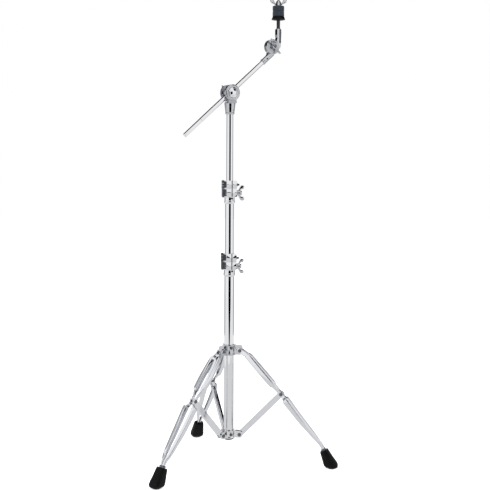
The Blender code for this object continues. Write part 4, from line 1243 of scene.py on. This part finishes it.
def arm_post():
    """The arm's upright post, hollowed for the discs and bolt, drilled and split for the rod."""
    left, right = ROD_OUT - ARM_HALF, ROD_OUT + ARM_HALF
    side = [(left - 0.0015, -0.0030), (right - 0.0040, -0.0030), (right - 0.0012, 0.0060)]
    side += [(right - 0.0012, 0.0260), (right, 0.0285), (right, ARM_TOP), (left, ARM_TOP)]
    side += [(left, 0.0300), (left + 0.0012, 0.0275), (left - 0.0015, 0.0150)]
    corners = [0.002, 0.002, 0.003, 0.001, 0.001, 0.0022, 0.0022, 0.001, 0.001, 0.002]
    post = prism(fillet(side, corners, 4), -0.0040, 0.0080)
    post.transform(UPRIGHT)
    slit = rectangle(ROD_OUT + 0.0040, ARM_TOP - 0.0170, ROD_OUT + 0.0050, ARM_TOP + 0.002)
    post = cut(post, prism(slit, -0.0020, 0.0200), UPRIGHT)
    post = cut(post, lathe(rectangle(0, -0.03, HEAD_R + 0.0012, GAP / 2), 72), UPRIGHT)
    hole = lathe(rectangle(0, 0, ROD_R + GAP, 0.03), 48)
    post = cut(post, hole, move(ROD_OUT, -0.0020, ARM_TOP - 0.016))
    return cut(post, lathe(rectangle(0, -0.03, 0.0039, 0.03), 40), UPRIGHT)


def arm():
    """The front toothed disc with its upright post, a friction washer and the rod's clamp screw."""
    body = toothed_disc()
    body.transform(UPRIGHT)
    section = rectangle(0.0045, HEAD_DISC - 0.0006, 0.0152, HEAD_DISC + 0.0001)
    washer = turned(section, 0.0002, 2, 72, ring=True)
    # The washer's dark chrome is painted shade between the discs
    detail("friction_washer", washer, "chrome_deep_shade", "cymbal_arm", HEAD_LEVEL @ UPRIGHT)
    add(body, arm_post())
    # The arm's darker chrome is painted shade
    finish("cymbal_tilter_arm", body, HEAD_LEVEL, 0.0004, look="chrome_half_shade")
    screw = [(0, 0.0014), (0.0010, 0.0014), (0.0014, 0.0024), (0.0026, 0.0026)]
    screw += [(0.0030, 0.0016), (0.0030, -0.0010), (0, -0.0010)]
    place = HEAD_LEVEL @ move(ROD_OUT + ARM_HALF, -0.0020, ARM_TOP - 0.0100) @ Z_ALONG_X
    detail("rod_clamp_screw", turned(screw, 0.0003, 2, 32), "dark_steel_and_shade", "cymbal_arm", place)


def arm_stud():
    """The dark threaded stud let into the arm's front, beside the rod."""
    low, high = 0.0120, ARM_TOP - 0.0010
    profile = [(0, low), (0.0020, low), (0.0032, low + 0.0008), (0.0032, low + 0.0070)]
    profile += thread_profile(0.0030, low + 0.0072, high, 0.0016)
    place = HEAD_LEVEL @ move(ROD_OUT + 0.0026, -0.0068, 0)
    detail("arm_stud", lathe(profile, 36), "dark_steel_and_shade", "cymbal_arm", place)


def in_stack(node):
    """A node's bottom and top, measured from the rod's place."""
    return bottom(node) - STACK.translation.z, top(node) - STACK.translation.z


def rod_and_sleeve():
    """The cymbal rod, threaded at its top, and the stepped sleeve round it."""
    low, high = in_stack("cymbal_rod")
    thread_start = high - 0.0260
    profile = [(0, low), (ROD_R - 0.0006, low), (ROD_R, low + 0.0006), (ROD_R, thread_start)]
    rod = lathe(profile + thread_profile(ROD_R, thread_start + 0.0003, high), 40)
    finish("cymbal_rod", rod, STACK, smooth=50, look="rod_steel")
    low, high = ARM_TOP + GAP, in_stack("cymbal_sleeve")[1]
    bore = ROD_R + GAP
    sleeve = [(bore, low), (0.0056, low), (0.0056, low + 0.0030), (0.0048, low + 0.0040)]
    sleeve += [(SLEEVE_R, low + 0.0130), (SLEEVE_R, high - 0.0010), (SLEEVE_R - 0.0006, high)]
    sleeve.append((bore, high))
    finish("cymbal_sleeve", turned(sleeve, 0.0004, 3, 56, ring=True), STACK)


def seat_washer():
    """The flared rubber seat under the felts, with a drooping skirt."""
    low, high = in_stack("seat_washer")
    bore = SLEEVE_R + GAP
    rim = FELT_R + 0.0026
    section = [(bore, low + 0.0034), (0.0095, low + 0.0034), (0.0150, low + 0.0018), (rim, low)]
    section += [(rim + 0.0002, low + 0.0014), (0.0176, low + 0.0050), (0.0168, high), (bore, high)]
    finish("seat_washer", turned(section, 0.0007, 4, 96, ring=True), STACK)


def felt_washer(node, seed):
    """A thick felt washer: crowned faces, soft edges and an uneven pressed side."""
    low, high = in_stack(node)
    bore = SLEEVE_R + GAP
    edge = 0.0021
    section = [(bore, low + 0.0004), (bore + 0.0012, low), (FELT_R * 0.7, low)]
    section += [(FELT_R - edge, low + 0.0001)]
    section += arc((FELT_R - edge, low + edge), edge, -pi / 2, 0, 6)
    section += [(FELT_R, low + (high - low) * share) for share in (0.3, 0.4, 0.5, 0.6, 0.7)]
    section += arc((FELT_R - edge, high - edge), edge, 0, pi / 2, 6)
    section += [(FELT_R - edge, high - 0.0001), (FELT_R * 0.7, high)]
    section += [(bore + 0.0012, high), (bore, high - 0.0004)]
    bm = lathe(section, 120, joined=True)
    for vert in bm.verts:
        outward = Vector((vert.co.x, vert.co.y, 0))
        if outward.length > FELT_R * 0.8:
            lump = noise.noise(vert.co * 260 + Vector((seed, 0, 0))) * 0.00022
            fuzz = noise.noise(vert.co * 1300 + Vector((0, seed, 0))) * 0.00010
            vert.co += outward.normalized() * (lump + fuzz - 0.00020)
    thing = finish(node, bm, STACK, smooth=80)


def cymbal_tilter():
    """The toothed joint at the boom's end, with the rod that carries the cymbal."""
    head_socket()
    head_bolt()
    arm()
    arm_stud()
    rotation = Euler((pi / 2, radians(54), 0)).to_matrix().to_4x4()
    place = HEAD_LEVEL @ move(y=-HEAD_DISC - GAP) @ rotation
    wing_nut("cymbal_tilter_wing_nut", place, span=0.0500, height=0.0190, hub_r=0.0075, bore=0.0035)
    rod_and_sleeve()
    seat_washer()
    felt_washer("lower_felt", 3.0)
    felt_washer("upper_felt", 11.0)
    place = STACK @ move(z=in_stack("upper_felt")[1] + GAP) @ turn(radians(-28), "Z")
    wing_nut("top_wing_nut", place, span=0.0450, height=0.0215, hub_r=0.0080, bore=ROD_R)


# ---------------------------------------------------------------- studio and camera


def glow(name, strength):
    """A white light-giving material; black where its strength is 0."""
    material = bpy.data.materials.new(name)
    material.use_nodes = True
    nodes = material.node_tree.nodes
    nodes.remove(nodes["Principled BSDF"])
    emission = nodes.new("ShaderNodeEmission")
    emission.inputs["Color"].default_value = (1, 1, 1, 1)
    emission.inputs["Strength"].default_value = strength
    material.node_tree.links.new(emission.outputs[0], nodes["Material Output"].inputs["Surface"])
    return material


def stage_sheet(name, corners, material, seen_by_camera):
    """A flat sheet of the studio."""
    stage_mesh(name, corners, [tuple(range(len(corners)))], material, seen_by_camera)


def stage_mesh(name, points, faces, material, seen_by_camera):
    """A surface of the studio. Cards are seen only in reflections."""
    mesh = bpy.data.meshes.new(name)
    mesh.from_pydata(points, [], faces)
    mesh.materials.append(material)
    thing = bpy.data.objects.new(name, mesh)
    bpy.context.scene.collection.objects.link(thing)
    thing.visible_camera = seen_by_camera
    thing.visible_glossy = not seen_by_camera
    if not seen_by_camera:
        thing.visible_diffuse = False
        thing.visible_shadow = False
        thing.visible_transmission = False


def sky_card(name, start, end, low, high, strength):
    """A patch of a dome over the stand, in degrees round from the viewer's side and degrees up."""
    centre = Vector((AXIS.x, AXIS.y, 0.8))
    distance = 4
    steps = 12
    count = steps + 1
    points = []
    for up in (low, (low + high) / 2, high):
        for k in range(count):
            side = radians(start + (end - start) * k / steps)
            flat = cos(radians(up)) * distance
            tall = distance * sin(radians(up))
            points.append(centre + Vector((flat * sin(side), -flat * cos(side), tall)))
    faces = []
    for first in [row * count + k for row in range(2) for k in range(steps)]:
        faces.append((first, first + 1, first + count + 1, first + count))
    stage_mesh(name, points, faces, glow(name, strength), seen_by_camera=False)


def card(name, distance, edge, strength):
    """An upright card round the stand. Its edge is (degrees to the right of the viewer's side, height)."""
    corners = []
    for degrees, height in edge:
        angle = radians(degrees)
        corners.append((AXIS.x + distance * sin(angle), AXIS.y - distance * cos(angle), height))
    stage_sheet(name, corners, glow(name, strength), seen_by_camera=False)


def floor_square(half, height):
    """A level square under the stand."""
    return [(x, y, height) for x, y in rectangle(-half, -half, half, half)]


def floor():
    """A white floor: the camera sees a bright matt sheet, and the chrome a softer, greyer one."""
    look = Look("floor_white", (0.9, 0.9, 0.9), 0.0, 0.9)
    grain = look.noise(6.0, 4.0)
    look.drive("Base Color", look.ramp(grain, [(0.3, (0.89, 0.89, 0.89)), (0.7, (0.91, 0.91, 0.91))]))
    look.shader.inputs["Specular IOR Level"].default_value = 0.0
    look.shader.inputs["Emission Color"].default_value = (1, 1, 1, 1)
    look.shader.inputs["Emission Strength"].default_value = 0.62
    stage_sheet("floor", floor_square(14.0, -0.0002), look.material, seen_by_camera=True)
    for name, half, height, strength in (
        ("floor_reflected", 14.0, -0.0004, 0.95),
        ("floor_near", 1.25, -0.0003, 0.76),
    ):
        stage_sheet(name, floor_square(half, height), glow(name, strength), seen_by_camera=False)


def lamp(name, place, size, power):
    """A square lamp that shines at the stand's middle and isn't seen itself."""
    data = bpy.data.lights.new(name, "AREA")
    data.shape = "SQUARE"
    data.size = size
    data.energy = power
    thing = bpy.data.objects.new(name, data)
    bpy.context.scene.collection.objects.link(thing)
    thing.location = place
    aim = Vector((AXIS.x, AXIS.y, 0.6)) - Vector(place)
    thing.rotation_mode = "QUATERNION"
    thing.rotation_quaternion = aim.to_track_quat("-Z", "Y")
    thing.visible_camera = False
    thing.visible_glossy = False


def studio():
    """A white room: dark and grey cards, seen only in the plating, and two lamps."""
    world = bpy.data.worlds.new("studio")
    bpy.context.scene.world = world
    world.use_nodes = True
    background = world.node_tree.nodes["Background"]
    background.inputs["Color"].default_value = (1, 1, 1, 1)
    background.inputs["Strength"].default_value = 1.0
    floor()
    card("dark_card_low", 1.75, [(-4, 0.0), (14, 0.0), (33, 0.42), (-17, 0.42)], 0.0)
    card("dark_card_high", 1.75, [(-17, 0.42), (33, 0.42), (33, 1.45), (-17, 1.45)], 0.0)
    card("dark_panel_left", 0.9, [(-38, 1.32), (-108, 1.32), (-108, 5.5), (-38, 5.5)], 0.0)
    card("dark_panel_back", 0.9, [(-108, 1.32), (-176, 1.32), (-176, 5.5), (-108, 5.5)], 0.0)
    card("dark_panel_right", 1.0, [(60, 1.42), (140, 1.42), (140, 2.8), (60, 2.8)], 0.0)
    sky_card("dark_sky_right", 62, 168, 24, 60, 0.01)
    for side, name in ((-1, "left"), (1, "right")):
        edge = [(side * 96, 0.0), (side * 142, 0.0), (side * 142, 2.6), (side * 96, 2.6)]
        card(f"grey_card_{name}", 2.6, edge, 0.42)
    lamp("key_light", (-2.2, -2.6, 3.0), 1.8, 60)
    lamp("fill_light", (2.6, -1.6, 2.2), 1.8, 30)
    bpy.context.scene.view_settings.view_transform = "Standard"


# The camera stands in front of the tube axis and looks slightly down and to the right.
CAMERA_DISTANCE = 2.7240
CAMERA_HEIGHT = 0.8230
CAMERA_ASIDE = -0.0161
CAMERA_DOWN = radians(2.6073)
CAMERA_YAW = radians(1.2486)
CAMERA_ROLL = radians(0.2634)
SENSOR = 36.0
FOCAL_IN_FRAMES = 1.99302
CAMERA_SHIFT = -0.06


def camera():
    data = bpy.data.cameras.new("camera")
    data.sensor_width = SENSOR
    data.lens = SENSOR * FOCAL_IN_FRAMES
    data.shift_y = CAMERA_SHIFT
    data.clip_start = 0.05
    data.clip_end = 60.0
    thing = bpy.data.objects.new("camera", data)
    bpy.context.scene.collection.objects.link(thing)
    spot = move(AXIS.x + CAMERA_ASIDE, AXIS.y - CAMERA_DISTANCE, CAMERA_HEIGHT)
    level = turn(-CAMERA_YAW, "Z") @ turn(pi / 2 - CAMERA_DOWN, "X")
    thing.matrix_world = spot @ level @ turn(CAMERA_ROLL, "Z")
    bpy.context.scene.camera = thing


def stand():
    tube("base_tube", BASE_R)
    tube("middle_tube", MIDDLE_R)
    tube("upper_tube", UPPER_R)
    tube_plug()
    tripod()
    height_clamp("lower", BASE_R, MIDDLE_R, outer=0.0172)
    height_clamp("upper", MIDDLE_R, UPPER_R, outer=0.0155)
    boom_tilter()
    cymbal_tilter()


stand()
studio()
camera()
